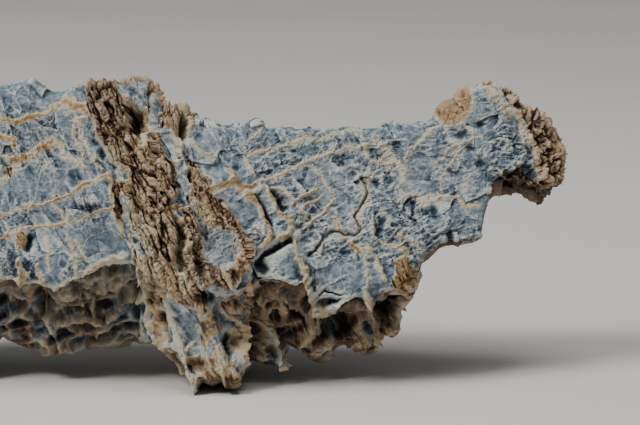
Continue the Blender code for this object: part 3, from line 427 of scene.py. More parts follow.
# Outlined areas, later ones over earlier ones: outline, rust, brown, lift, border softness.
AREAS = {
    "upper brown mass":
        ([(92.4, 111.6), (97.1, 114.5), (103.5, 113.8), (106.2, 110.2), (108.3, 105.9),
        (109.7, 100.2), (109.9, 92.3), (107.4, 88.7), (104.8, 84.7), (101, 88.7), (97.8, 91.6),
        (95.8, 98), (93.7, 104.5)], 0.7, 1, 2.2, 0.8),
    "crown slab piece":
        ([(104.4, 107.7), (106.3, 113.8), (109.2, 116.3), (113.4, 116.6), (114.4, 110.9),
        (113.6, 105.2), (110.4, 103.8), (107.2, 105.2)], 0.1, 0.1, 0.9, 0.8),
    "crown slab top":
        ([(105.3, 110.4), (106.2, 114.8), (109.2, 117.6), (113.4, 117.6), (113.9, 112.2),
        (109.2, 110.2)], 0.4, 0.5, 0, 1),
    # the crown's dark side: dark brown crust, partly painted shade
    "crown dark side":
        ([(112.3, 115.9), (114.8, 115.2), (115.8, 110.2), (114.4, 108.1), (113.3, 111.6)], 0.4, 1,
        -1, 0.6),
    "right fins":
        ([(115.4, 108.1), (119.3, 107.3), (123.9, 105.9), (128.9, 103.8), (129.5, 98),
        (126.7, 96.6), (123.1, 97.3), (118.1, 96.6), (115.3, 98.8)], 0.55, 0.6, 1.6, 0.8),
    "pale fin":
        ([(115.1, 108.4), (117.2, 108.4), (117.9, 98.8), (115.3, 97.3)], 0.08, 0, -0.4, 0.5),
    "blue fin top":
        ([(122.9, 106.6), (125.9, 105), (125.9, 102.4), (123.4, 102.6)], 0.12, 0, 0.4, 0.5),
    "white slab under the fins":
        ([(113.9, 98), (118.1, 97.3), (121.7, 96.6), (122.4, 92.3), (118.1, 90.9), (114.5, 93)],
        0.15, 0, 0.1, 0.6),
    "pale strip":
        ([(110.7, 95.2), (113.1, 95.2), (114.5, 88.7), (112.7, 87.3)], 0.3, 0, 1.2, 0.5),
    "brown streak":
        ([(114.6, 95.2), (117.4, 95.2), (119.5, 88.7), (116.6, 86.5)], 0.7, 0.8, 0.8, 0.6),
    "lower brown mass":
        ([(105.2, 85.8), (109.9, 89.4), (114.5, 92.3), (117.4, 89.4), (120.9, 85.8), (123, 81.5),
        (123.9, 72.8), (121.4, 69.2), (117.8, 67.4), (114.9, 65.6), (110.7, 66.7), (107.5, 68.5),
        (105, 72.8), (103.3, 77.5)], 0.75, 1, 2.6, 0.8),
    "slate tongue":
        ([(95.6, 95.6), (98.4, 91.2), (101.6, 86.4), (105.3, 82.6), (107.6, 80.4), (106.8, 77.6),
        (103.3, 77.3), (100.4, 79.3), (98.1, 85.7), (95, 92)], 0.12, 0, -1.2, 0.5),
    "brown strip left":
        ([(100.6, 78.5), (103.4, 77.6), (104.6, 72), (105.2, 66), (103.4, 62), (101.6, 66),
        (101, 72)], 0.7, 0.7, 1.6, 0.5),
    "slate strip left":
        ([(105, 74), (107.8, 71), (108.6, 64), (106.2, 62), (105.2, 67)], 0.2, 0, 0.2, 0.5),
    "blue patch":
        ([(118.8, 95.2), (122.4, 95.2), (125.2, 89.4), (124.4, 84.7), (121.6, 85.8),
        (118.8, 90.1)], 0.1, 0, -1, 0.6),
    "right blue strip":
        ([(123.7, 85.8), (127.3, 85.8), (128.3, 78.6), (127.5, 71.4), (125, 71.4)], 0.12, 0, 0.6,
        0.5),
    "right cream edge":
        ([(121.7, 96.2), (123.8, 95.2), (126.6, 89.4), (128, 82.2), (126.5, 81.5), (124.5, 88.7)],
        0.34, 0, 1.6, 0.5),
    "brown strip":
        ([(127.6, 86.9), (131.9, 82.6), (132.1, 71.4), (129.3, 67), (127.2, 72.1), (128.3, 78.6)],
        0.6, 0.85, 1, 0.6),
    "tan patch":
        ([(128.3, 82.6), (132.2, 82.9), (137.5, 76.1), (134.3, 73.9), (129.7, 75)], 0.6, 0.12,
        1.4, 0.5),
    "tan patch core":
        ([(131.5, 77.9), (134.4, 79.3), (136.8, 78.6), (135.8, 75.7), (132.9, 75.3)], 0.6, 1, 0.3,
        0.8),
    "cream mass":
        ([(106, 67), (110.7, 66.3), (114.9, 64.8), (115.2, 56.8), (117.6, 48.8), (120.4, 38.9),
        (117.5, 38.2), (113.2, 40.8), (110.4, 47.7), (108, 55)], 0.42, 0.3, 0.6, 1),
    "dish":
        ([(130.7, 74.6), (136.4, 72.5), (140.4, 69.9), (143.2, 66.3), (146, 61.9), (148.5, 57.2),
        *DISH_LOWER_RIM, (126.3, 55), (130.6, 57.6), (131.4, 63.4), (129.3, 68.5)], 0.7, 0.8, 0.6,
        0.5),
    "left lump":
        ([(114.9, 64.8), (119.6, 66.3), (123.1, 64.1), (123.8, 56.8), (121.9, 48.8),
        (119.4, 48.8), (116.2, 53.2), (114.1, 58.3)], 0.62, 0.8, 3, 0.7),
    "hook lump":
        ([(125.7, 67.4), (128.5, 68.5), (131, 64.1), (131.3, 57.6), (128.4, 54.6), (126.2, 51),
        (125.2, 56.8)], 0.6, 0.85, 3.2, 0.6),
    "grey strip in the dish":
        ([(128.2, 68.1), (130.3, 68.5), (134.2, 61.9), (134.2, 56.8), (131.7, 58.3), (131, 63.4)],
        0.2, 0.1, -2, 0.6),
    "dish floor":
        ([(134.2, 61), (140, 61.4), (145, 58), (147.2, 52), (145.8, 47.2), (141.2, 45),
        (135, 46.6), (132, 50), (132.4, 56)], 0.16, 0, -1.4, 1.4),
    "lower dish fold":
        ([(125.9, 51), (129.1, 48.8), (134.1, 48.1), (139.8, 46.6), (141.2, 41.5), (133.7, 40),
        (129, 40.8), (126.2, 45.1)], 0.5, 0.5, -1.2, 1.2),
    "foot brown":
        ([(127.6, 38.5), (134.7, 37.8), (136.8, 28.3), (133.9, 23.8), (130.4, 30.5)], 0.65, 1,
        0.8, 0.8),
    "foot tan":
        ([(131.8, 32.7), (136.1, 28.3), (139.3, 20.1), (140.3, 14.2), (143.6, 9), (145.3, 2.3),
        (141, 3.8), (136.7, 12), (133.9, 17.9), (132.5, 23.8)], 0.62, 0.2, 1.6, 0.8),
    "foot side face": (FOOT_SIDE, 0.6, 1, -1.6, 0.6),
    "foot spike":
        ([(116.7, 35.6), (118.5, 30.5), (119.1, 23.8), (116.6, 20.9), (113.8, 25.7),
        (115.6, 30.5)], 0.75, 0.5, 1, 0.6),
    "foot slate":
        ([(119.3, 36.3), (123.2, 34.9), (128.2, 31.9), (131.4, 29.7), (133.1, 18.3), (136, 13.8),
        (128.1, 14.2), (130.1, 2.3), (127.2, 4.6), (121.6, 17.9), (120.3, 27.5)], 0.1, 0, -0.8,
        0.8),
    "foot lower hollow":
        ([(127, 13.8), (130.2, 15.7), (133.8, 13.5), (134.1, 7.5), (130.2, 6.8)], 0.75, 0.7, -0.6,
        0.6),
    "foot far slate":
        ([(136.5, 34.9), (140.5, 36.3), (142.6, 27.5), (143.3, 19.4), (140.4, 18.7),
        (136.8, 28.3)], 0.12, 0.05, -1.4, 0.8),
    "foot brown lump":
        ([(140.1, 33.8), (144.1, 34.9), (148, 32.7), (147.6, 28.6), (141.9, 27.5)], 0.62, 0.8,
        0.6, 0.7),
    "foot far fin":
        ([(143.3, 27.5), (147.6, 26.8), (149, 20.1), (146.8, 11.3), (144, 19.4)], 0.55, 0.6, 0.6,
        0.7),
    "foot right edge":
        ([(141.1, 16.4), (143.9, 12), (146.1, 6.8), (148.2, 8.3), (146.1, 3.1), (143.2, 4.6)],
        0.8, 0.5, 0.3, 0.6),
    "left side panels":
        ([(100.4, 46.6), (109.3, 46.6), (112.5, 40.8), (114.5, 26.8), (117.3, 19.4),
        (113.7, 18.3), (106.4, 18.3), (102.2, 23.8)], 0.1, 0, 0, 0.8),
    "right rear mass":
        ([(186.9, 29.7), (191.6, 30.5), (195.2, 20.1), (193.8, 15.7), (190.2, 14.6),
        (186.5, 20.9)], 0.5, 0.6, 0, 0.8),
    "boxwork":
        ([(147.7, 40.8), (152.7, 40), (158.8, 40), (162.4, 35.6), (168.5, 32.7), (172.8, 29),
        (175.7, 20.1), (167.8, 15.7), (156.9, 12.7), (148.3, 15.7)], 0.55, 0.6, 0, 1),
    "great cavity walls":
        ([(175.7, 28.3), (186.5, 32.7), (190.8, 29), (186.5, 18.7), (178.6, 15.7), (173.6, 20.1)],
        0.4, 1, 0, 1),
    "slate cell":
        ([(159.6, 40.8), (167.8, 40.8), (172.8, 36.3), (172.1, 31.9), (166.4, 34.1),
        (160.6, 34.9)], 0.12, 0.1, 0, 0.6),
    "orange block":
        ([(201.2, 49.5), (205.1, 50.6), (208.7, 46.6), (209.5, 40.8), (206.6, 37.4),
        (202.3, 38.5), (201.6, 44.4)], 0.78, 0.35, 0.4, 0.8),
    "lower block":
        ([(203, 37.8), (208.8, 37.8), (208.5, 31.9), (205.2, 28.3), (205.6, 22), (201.7, 20.1),
        (196.6, 23.8), (195.2, 29.7), (200.2, 31.9)], 0.55, 0.75, 0.2, 0.8),
    "dark block edge":
        ([(208, 45.9), (212.3, 46.6), (212.4, 32.7), (208.8, 31.2), (207.4, 34.9)], 0.5, 1, -0.6,
        0.8),
    "right slate lip":
        ([(172.8, 38.5), (184, 37.8), (186.5, 35.6), (185.8, 33.4), (180.8, 30.1), (176.1, 27.5),
        (174.3, 32.7)], 0.14, 0, 0, 0.5),
    "head back lump":
        ([(216.2, 98), (216.9, 105.9), (221.1, 111.6), (227.4, 113.1), (229.6, 108.1),
        (226.8, 103.8), (221.2, 98.8)], 0.6, 0.1, -1.6, 0.8),
    "head crust":
        ([(236.6, 113.1), (241.6, 112.3), (245.9, 107.3), (252.7, 104.8), (258.8, 100.2),
        (262.5, 89.4), (261.3, 76.4), (252.6, 78.4), (251.4, 86), (249.7, 93), (247.1, 101.6),
        (241.7, 105.9)], 0.55, 0.8, 0.8, 0.8),
    "head pale crust":
        ([(251.6, 105.2), (258.8, 100.9), (258.9, 95.2), (255.3, 97.3), (252.4, 100.9)], 0.42, 0.1,
        0.8, 0.7),
    # the beak's underside: dark brown crust, partly painted shade
    "beak":
        ([*BEAK_TOP, (248.4, 80), (253.5, 78.6), (261.3, 77.9), (262.9, 71.4), (253.6, 68.5),
        (246.4, 71.4), (239.3, 72.8)], 0.4, 1, -2.2, 0.6),
    "left tan patch":
        ([(66.5, 59), (69.8, 59.7), (69.6, 53.2), (66.8, 53.2)], 0.7, 0.1, 0.6, 0.5),
    "left brown spot":
        ([(62.4, 82.9), (64.9, 83.3), (65.2, 80), (62.7, 79.7)], 0.7, 0.7, -0.4, 0.6),
    "white patch":
        ([(209.6, 72.5), (214.3, 72.5), (213.6, 68.5), (210.4, 68.8)], 0.3, 0, 0.3, 0.6),
    "grey knob": ([(72.6, 20.1), (77.6, 21.2), (79, 15.7), (74.6, 15.3)], 0.32, 0.1, 0.4, 0.6),
    "far left brown":
        ([(49.1, 34.9), (59.9, 36.3), (67.2, 38.5), (77.2, 36.3), (77.7, 23.8), (70.3, 15.7),
        (48.7, 18.3)], 0.2, 0.4, 0, 1.4)}

# Places darkened: painted shade on the beak, the foot's side face and the dish's recess, a darker
# colour in the rest: outline, darkness, border softness.
SHADES = {
    "beak":
        ([*BEAK_TOP, (249.4, 79), (253.5, 76.6), (261.3, 75.9), (262.9, 66.4), (234.6, 66.5)], 1.1,
        0.8),
    "foot side face": (FOOT_SIDE, 0.8, 0.6),
    "blue field":
        ([(86, 68), (99, 72), (103, 62), (104, 51), (92, 50), (86, 57)], 0.45, 3),
    "left shoulder":
        ([(68, 99), (86, 101), (88, 94), (72, 92)], 0.25, 2.5),
    "crown slab":
        ([(104.4, 108), (106, 114), (113, 116), (117.6, 108), (118, 98), (114, 98), (111, 104)],
        0.3, 0.8),
    "recess in the dish":
        ([(127.6, 50.1), (134, 50.7), (138.7, 46.5), (136, 41), (130, 41), (127.5, 45)], 0.85,
        1.4),
    "dish floor":
        ([(133, 60), (140, 60), (146, 56), (146, 49), (138, 47), (133, 52)], 0.38, 1.5),
    "upper brown mass":
        ([(92.4, 113), (103, 114), (108, 106), (109.7, 98), (106, 89), (100, 89), (94, 104)],
        0.42, 2)}

# Lower border of the faces, under which the stone is undercut, left and right of the foot.
LIP = [
    (0, 58), (20, 52), (38.7, 48.8), (49.4, 45.9), (60.1, 43.7), (66.2, 43.3), (70.1, 41.8),
    (73.7, 40.8), (76.5, 39.3), (79, 38.9), (83.8, 41.1), (88.8, 43.3), (91.7, 44),
    (94.2, 45.1), (97.1, 47.3), (103.3, 48.4), (109, 48.4), (110, 45.9)]
LIP_RIGHT = [
    (150.6, 48.8), (152.4, 44), (158.5, 42.6), (164.2, 41.5), (169.6, 41.8), (172.5, 38.5),
    (173.9, 33.4), (176.1, 27.9), (180.4, 30.1), (182.9, 32.7), (185.8, 35.2), (187.9, 36.3),
    (190.5, 33.4), (195.2, 32.3), (198.7, 33.8), (200.2, 36), (202, 37.4), (205.2, 37.1),
    (208.1, 38.5), (210.9, 46.6)]

# Run of the crust round the end of the head, in x and z.
HEAD_CRUST_RUN = [(236, 110), (247, 105), (256, 100), (262, 88), (260, 74), (252, 72)]
# Middles of the round dish and of the lump behind the head, in x and z.
DISH_MIDDLE = (140.0, 57.0)
REAR_LUMP = (221.5, 105.0)
# The x at which the crust's splinters give way to the head's lumps.
HEAD_START = 214.0
# Heights between which the calm, slaty crust of the foot passes into splinters.
FOOT_TOP = (30.0, 40.0)
# A distance greater than any in the stone.
FAR = 1e9
# Width over which a step breaks off, and height of its rim over the raised side.
CLIFF_WIDTH = 0.5
RIM_HEIGHT = 0.35
# Reach round an outline within which it is looked up, and raggedness of its border.
OUTLINE_REACH = 3.0
OUTLINE_RAGGED = 0.75
# How far cell middles are scattered, as a share of a cell.
SCATTER = 0.42


# Number helpers. The last number that a noise takes is its seed: each pattern has its own.

def along(table, x):
    """Value of a (place, value) table at each x, straight between its entries."""
    pairs = np.array(table, float)
    return np.interp(x, pairs[:, 0], pairs[:, 1])


def softly_along(table, x):
    """Like along, averaged over a few places so that corners leave no crease."""
    return sum(along(table, x + shift) for shift in SOFTENING) / len(SOFTENING)


def smooth_step(low, high, value):
    """Rise from 0 at low to 1 at high without a corner: three t squared less two t cubed."""
    t = np.clip((value - low) / (high - low), 0.0, 1.0)
    return t * t * (3.0 - 2.0 * t)


def lattice_value(cell, seed):
    """Fixed value from -1 to 1 for each whole-number cell: its three numbers mixed by products."""
    mixed = cell[..., 0] * 73856093 ^ cell[..., 1] * 19349663 ^ cell[..., 2] * 83492791
    mixed = (mixed ^ seed * 668265263) & 0xFFFFFFFF
    mixed = ((mixed ^ mixed >> 15) * 2246822519) & 0xFFFFFFFF
    mixed = ((mixed ^ mixed >> 13) * 3266489917) & 0xFFFFFFFF
    return ((mixed ^ mixed >> 16) & 0xFFFFFF) / float(0x7FFFFF) - 1.0


def lumps_noise(points, size, seed):
    """Smooth lumps about `size` mm across, -1 to 1: corner values blended by smoothed shares."""
    scaled = points / np.asarray(size, float)
    cell = np.floor(scaled).astype(np.int64)
    part = scaled - cell
    part = part * part * (3.0 - 2.0 * part)
    total = np.zeros(len(points))
    for corner in range(8):
        step = np.array([corner & 1, corner >> 1 & 1, corner >> 2 & 1])
        share = np.prod(np.where(step == 1, part, 1.0 - part), axis=1)
        total += share * lattice_value(cell + step, seed)
    return total


def layered_noise(points, size, layers, seed):
    """Sum of lumps, each layer half the size and half the height of the one before."""
    sizes = [np.asarray(size, float) / 2 ** layer for layer in range(layers)]
    return sum(lumps_noise(points, s, seed + n) / 2 ** n for n, s in enumerate(sizes))


def crest_noise(points, size, seed, layers=2):
    """Sharp crests, 0 to 1: one less twice the size of the noise, never below 0, in layers."""
    total = np.zeros(len(points))
    whole = 0.0
    for layer in range(layers):
        noise = lumps_noise(points, np.asarray(size, float) / 2 ** layer, seed + layer)
        total += np.clip(1.0 - 2.0 * np.abs(noise), 0.0, 1.0) / 2 ** layer
        whole += 1.0 / 2 ** layer
    return total / whole


def noise_shift(points, size, seed):
    """Sideways shift of each point by three smooth noises, to bend straight patterns."""
    return np.stack([lumps_noise(points, size, seed + axis) for axis in range(3)], axis=1)


def broken_cells(points, size, seed):
    """Scattered cells: nearest and second distance to a cell middle, and a tilted facet each.

    The facet is a plane through each cell middle with a tilt of its own, so that it breaks off
    at the cell's border.
    """
    scaled = points / np.asarray(size, float)
    cell = np.floor(scaled).astype(np.int64)
    nearest = np.full(len(points), FAR)
    second = np.full(len(points), FAR)
    facet = np.zeros(len(points))
    # the cell itself and its 26 neighbours
    for number in range(27):
        home = cell + np.array([number % 3 - 1, number // 3 % 3 - 1, number // 9 - 1])
        shift = np.stack([lattice_value(home, seed + axis) for axis in range(3)], axis=1)
        offset = home + 0.5 + SCATTER * shift - scaled
        gap = np.sqrt((offset ** 2).sum(axis=1))
        plane = offset[:, 0] * shift[:, 1] + offset[:, 2] * shift[:, 0] + 0.35 * shift[:, 2]
        facet = np.where(gap < nearest, plane, facet)
        second = np.minimum(second, np.maximum(nearest, gap))
        nearest = np.minimum(nearest, gap)
    return nearest, second, facet


def around_run(x, z, run, reach):
    """Indices of the points inside the box of a run of points, grown by a reach."""
    xs, zs = np.array(run).T
    return np.flatnonzero((x > xs.min() - reach) & (x < xs.max() + reach)
                          & (z > zs.min() - reach) & (z < zs.max() + reach))


def run_distance(x, z, run):
    """Distance to a broken line, +1 or -1 for its side, and the length from its nearer end."""
    best = np.full(len(x), FAR)
    side = np.ones(len(x))
    from_start = np.zeros(len(x))
    total = 0.0
    for (x0, z0), (x1, z1) in zip(run[:-1], run[1:]):
        dx = x1 - x0
        dz = z1 - z0
        length = math.hypot(dx, dz)
        t = np.clip(((x - x0) * dx + (z - z0) * dz) / length ** 2, 0.0, 1.0)
        gap = np.hypot(x - x0 - t * dx, z - z0 - t * dz)
        turn = np.where(dx * (z - z0) - dz * (x - x0) > 0, 1.0, -1.0)
        nearer = gap < best
        side = np.where(nearer, turn, side)
        from_start = np.where(nearer, total + t * length, from_start)
        best = np.where(nearer, gap, best)
        total += length
    return best, side, np.minimum(from_start, total - from_start)


def outline_depth(x, z, outline):
    """Distance to a closed outline, above zero inside it: nearest edge and crossings counted."""
    closed = outline + outline[:1]
    gap = run_distance(x, z, closed)[0]
    inside = np.zeros(len(x), bool)
    for (x0, z0), (x1, z1) in zip(closed[:-1], closed[1:]):
        if z0 != z1:
            crosses = ((z0 > z) != (z1 > z)) & (x < x0 + (x1 - x0) * (z - z0) / (z1 - z0))
            inside ^= crosses
    return np.where(inside, gap, -gap)


def drawn_place(points):
    """Where each point is seen on the upright drawing plane, along its line of sight."""
    reach = (DRAWING_DEPTH - EYE[1]) / (points[:, 1] - EYE[1])
    return EYE[0] + (points[:, 0] - EYE[0]) * reach, EYE[2] + (points[:, 2] - EYE[2]) * reach


# The smooth skin

def section_guides(crown_x):
    """Ten guide points (x, y, z) of the section under each crown x, lower edge first."""
    foot_x = along(SECTION_LEAN, crown_x)
    low = along(LOWER_EDGE, foot_x)
    high = along(UPPER_EDGE, crown_x)
    tall = high - low
    ledge = along(LEDGE, 0.6 * foot_x + 0.4 * crown_x)
    ledge = np.clip(ledge, low + 0.08 * tall, high - 0.3 * tall)
    face = high - ledge
    y_ledge = softly_along(LEDGE_DEPTH, crown_x)
    y_crown = softly_along(CROWN_DEPTH, crown_x)
    y_under = softly_along(UNDERCUT_DEPTH, foot_x)
    y_low = along(LOWER_DEPTH, foot_x)
    y_back = softly_along(BACK_DEPTH, crown_x)
    slope = y_crown - y_ledge
    behind = y_back - y_crown
    guides = [
        (y_low, low),
        (y_under, low + 0.55 * (ledge - low)),
        (y_ledge, ledge),
        (y_ledge + 0.26 * slope, ledge + 0.36 * face),
        (y_ledge + 0.60 * slope, ledge + 0.71 * face),
        (y_crown, high),
        (y_crown + 0.5 * behind, high - 0.09 * tall),
        (y_back - 0.08 * behind, high - 0.33 * tall),
        (y_back, low + 0.38 * tall),
        (y_low + 0.72 * (y_back - y_low), low + along(HEEL_RISE, foot_x))]
    points = []
    for depth, height in guides:
        share = np.clip((height - low) / tall, 0.0, 1.0)
        points.append(np.stack([foot_x + share * (crown_x - foot_x), depth, height], axis=1))
    return np.stack(points, axis=1)


def smooth_sections(guides, span_points):
    """Closed smooth curve through the guide points, with the given points for each span."""
    count = guides.shape[1]
    rows = []
    for span in range(count):
        before = guides[:, span - 1]
        start = guides[:, span]
        end = guides[:, (span + 1) % count]
        after = guides[:, (span + 2) % count]
        for step in range(span_points[span]):
            t = step / span_points[span]
            rows.append(0.5 * (2.0 * start + (end - before) * t
                               + (2.0 * before - 5.0 * start + 4.0 * end - after) * t * t
                               + (3.0 * start - before - 3.0 * end + after) * t ** 3))
    return np.stack(rows, axis=1)


def with_closed_ends(skin):
    """Add rows that draw each end section in to its middle, so that relief covers the ends."""
    caps = [np.stack([end + share * (end.mean(axis=0) - end) for share in END_ROWS])
            for end in (skin[0], skin[-1])]
    return np.concatenate([caps[0][::-1], skin, caps[1]])


def skin_directions(grid):
    """Outward unit direction at every point: cross product of the steps along and round."""
    length_step = np.gradient(grid, axis=0)
    round_step = np.roll(grid, -1, axis=1) - np.roll(grid, 1, axis=1)
    outward = np.cross(length_step, round_step)
    return outward / np.maximum(np.linalg.norm(outward, axis=2, keepdims=True), 1.0 / FAR)


def section_places(spacings):
    """Crown x of every section: steps of the given size from each given place on."""
    stops = [start for start, _ in spacings] + [STONE_LENGTH]
    parts = [np.arange(a, b, step) for (a, step), b in zip(spacings, stops[1:])]
    return np.append(np.concatenate(parts), STONE_LENGTH)


# Relief and stains

def drawn_steps(x, z, rough):
    """Steps: a plate rising to its rim on one side of a run, breaking off on the other."""
    height = np.zeros(len(x))
    rust = np.zeros(len(x))
    brown = np.zeros(len(x))
    for run, tall, reach, rim, rusty, browned in STEPS.values():
        near = around_run(x, z, run, reach)
        gap, side, end = run_distance(x[near], z[near], run)
        taper = smooth_step(0.0, 3.0, end)
        plate = np.clip(1.0 - gap / reach, 0.0, 1.0) ** 1.15
        cliff = np.exp(-(gap / CLIFF_WIDTH) ** 2)
        height[near] += tall * taper * np.where(side < 0, plate, cliff)
        if rim > 0:
            width = rim * (1.0 + 0.45 * rough[near])
            band = np.where(side < 0, 1.0 - smooth_step(0.45 * width, width, gap),
                            1.0 - smooth_step(0.1, 0.7, gap))
            halo = 0.34 * np.where(side < 0, 1.0 - smooth_step(width, 2.0 * width, gap), band)
            height[near] += RIM_HEIGHT * taper * band
            rust[near] = np.maximum(rust[near], taper * np.maximum(rusty * band, halo))
            brown[near] = np.maximum(brown[near], browned * taper * band)
    return height, rust, brown


def drawn_lines(x, z, rough, table, halo_width):
    """Ridges along runs: bell-shaped across, ragged in width, with a cream border each side."""
    height = np.zeros(len(x))
    rust = np.zeros(len(x))
    brown = np.zeros(len(x))
    for run, tall, half_width, rusty, browned in table.values():
        near = around_run(x, z, run, 3.0 * half_width + 4.0)
        gap, _, end = run_distance(x[near], z[near], run)
        width = half_width * (1.0 + 0.65 * rough[near]) * (0.6 + 0.4 * smooth_step(0.0, 5.0, end))
        core = np.exp(-(gap / width) ** 2)
        height[near] = np.maximum(height[near], tall * core)
        halo = 0.33 * np.exp(-(gap / (1.25 * width + halo_width)) ** 2)
        wide = 0.24 * np.exp(-(gap / (1.5 * width + 2.6 * halo_width)) ** 2)
        cream = np.maximum(halo, wide)
        core_rust = rusty * core ** 1.2 * (1.0 + 0.4 * rough[near])
        rust[near] = np.maximum(rust[near], np.maximum(core_rust, cream))
        brown[near] = np.maximum(brown[near], browned * core)
    return height, rust, brown


def drawn_grooves(x, z):
    """Grooves along runs: bell-shaped across, running out to nothing at their ends."""
    total = np.zeros(len(x))
    for run, depth, half_width in GROOVES.values():
        near = around_run(x, z, run, 3.0 * half_width)
        gap, _, end = run_distance(x[near], z[near], run)
        cut = depth * smooth_step(0.0, 2.0, end) * np.exp(-(gap / half_width) ** 2)
        total[near] = np.maximum(total[near], cut)
    return -total


def drawn_spots(x, z):
    """Oval hollows and lumps, flat in the middle and soft at the border."""
    total = np.zeros(len(x))
    for sign, table in ((-1.0, HOLLOWS), (1.0, LUMPS)):
        for cx, cz, half_x, half_z, tall in table.values():
            near = around_run(x, z, [(cx, cz), (cx, cz)], 2.2 * max(half_x, half_z))
            reach = ((x[near] - cx) / half_x) ** 2 + ((z[near] - cz) / half_z) ** 2
            total[near] += sign * tall * np.exp(-reach ** 1.5)
    return total


def crumpled_slate(points):
    """Pits between pale crests, drawn out steeply left of the band and at a low slant beyond."""
    bent = points + 0.8 * noise_shift(points, 3.4, 61)
    steep = np.stack([bent[:, 0] + 0.4 * bent[:, 2], bent[:, 1] * 0.6, 0.5 * bent[:, 2]], axis=1)
    low = np.stack([0.62 * bent[:, 0] + 0.3 * bent[:, 2], 0.6 * bent[:, 1],
                    bent[:, 2] - 0.45 * bent[:, 0]], axis=1)
    border = along(BAND_RIGHT, points[:, 2]) + 4.0 + 18.0 * smooth_step(68.0, 78.0, points[:, 2])
    slanted = np.where((points[:, 0] < border)[:, None], steep, low)
    nearest, second, facet = broken_cells(slanted, 2.5, 64)
    pits = 0.5 - smooth_step(0.0, 0.7, second - nearest)
    plate = broken_cells(slanted, 8.5, 171)[2]
    small = crest_noise(slanted, 1.5, 66, 2)
    fine = crest_noise(bent, 0.8, 68, 1)
    stirred = 0.55 + 0.6 * smooth_step(-0.3, 0.5, lumps_noise(points, 11.0, 69))
    # the neck and head are netted with fine pale ridges
    neck = smooth_step(188.0, 206.0, points[:, 0])
    nearest, second, _ = broken_cells(bent, (3.4, 2.8, 2.6), 173)
    net = 1.0 - smooth_step(0.0, 0.2, second - nearest)
    rough = 0.42 * pits + 0.34 * facet + 0.5 * (small - 0.35) + 0.34 * (fine - 0.35)
    rough += neck * (0.3 * net - 0.06)
    return stirred * rough + 0.9 * plate


def splintered_crust(points, x, z):
    """Splinters running steeply down to the right, with grooves between, and chipped grains."""
    bent = points + 0.7 * noise_shift(points, 4.0, 43) + 0.25 * noise_shift(points, 1.7, 46)
    sheet = np.stack([bent[:, 0] + 0.5 * bent[:, 2], 0.5 * bent[:, 1], 0.24 * bent[:, 2]],
                     axis=1)
    nearest, second, splinter = broken_cells(sheet, 2.5, 51)
    groove = 1.0 - smooth_step(0.0, 0.4, second - nearest)
    flake = broken_cells(sheet * np.array([1.0, 1.3, 1.4]), 0.95, 55)[2]
    nearest, second, chip = broken_cells(bent, 1.3, 57)
    pit = 1.0 - smooth_step(0.0, 0.5, second - nearest)
    crests = crest_noise(sheet, (1.3, 2.4, 2.0), 53)
    hairs = crest_noise(sheet, (0.75, 1.2, 0.8), 167, 1)
    streak = lumps_noise(sheet, 2.6, 59)
    # on the rim of the dish the crust is granular, with few splinters
    from_dish = np.hypot(x - DISH_MIDDLE[0], 0.8 * (z - DISH_MIDDLE[1]))
    ring = 1.0 - smooth_step(13.0, 17.0, from_dish)
    fibres = 2.0 * splinter - 1.15 * groove + 1.2 * flake + 0.9 * (crests - 0.4)
    fibres = fibres + 0.4 * hairs - 0.15
    grains = 0.8 * chip - 0.5 * pit + 0.3
    return (1.0 - 0.6 * ring) * fibres + (0.7 + 0.35 * ring) * grains, streak


def lumpy_crust(points):
    """Irregular crust of the head: broken lumps about 3 mm across, with flakes and grains."""
    bent = points + 1.3 * noise_shift(points, 3.6, 143) + 0.4 * noise_shift(points, 1.4, 146)
    nearest, second, lump = broken_cells(bent, (2.6, 4.2, 3.4), 151)
    groove = 1.0 - smooth_step(0.0, 0.5, second - nearest)
    flake = broken_cells(bent, (1.1, 1.8, 1.5), 155)[2]
    chip = broken_cells(bent, 0.9, 157)[2]
    return 2.3 * lump - 0.8 * groove + 0.9 * flake + 0.35 * chip + 0.3


def under_the_lip(x, z):
    """How far each seen place lies under the lower border of the faces, in mm."""
    left = along(LIP, x) - z
    right = along(LIP_RIGHT, x) - z
    left = np.where(x > LIP[-1][0], -5.0, left)
    right = np.where((x < LIP_RIGHT[0][0]) | (x > LIP_RIGHT[-1][0]), -5.0, right)
    return np.maximum(left, right)


def band_share(points):
    """Share of the fibrous band, from 0 to 1: it sways a little and runs right round the stone."""
    sway = 2.2 * lumps_noise(points, 9.0, 41) + 0.06 * (points[:, 1] - 20.0)
    left = along(BAND_LEFT, points[:, 2]) + sway
    right = along(BAND_RIGHT, points[:, 2]) + sway
    inside = np.minimum(points[:, 0] - left, right - points[:, 0])
    return smooth_step(-1.0, 1.4, inside + 0.8 * lumps_noise(points, 2.2, 42))


def broken_back(points, behind):
    """Relief, forms and rust of the back, and of the fine veins on every side.

    The back has dished facets and tilted plates. A thin vein lies where a slow noise changes sign.
    """
    leaning = points + np.array([0.0, 0.0, 1.0]) * (0.35 * points[:, :1])
    nearest, second, _ = broken_cells(leaning, (26.0, 19.0, 15.0), 61)
    forms = -2.8 * behind * (smooth_step(0.0, 0.9, second - nearest) - 0.5)
    plate = broken_cells(leaning + 2.0 * noise_shift(points, 8.0, 161), 12.0, 165)[2]
    forms += 2.2 * behind * plate
    web = np.exp(-(np.abs(layered_noise(points, 24.0, 2, 131)) / 0.035) ** 2)
    fine_web = np.exp(-(np.abs(layered_noise(points, 11.0, 2, 135)) / 0.045) ** 2)
    rust = np.maximum(0.75 * behind * web, 0.26 * fine_web)
    return 0.25 * fine_web + 0.5 * behind * web, forms, rust


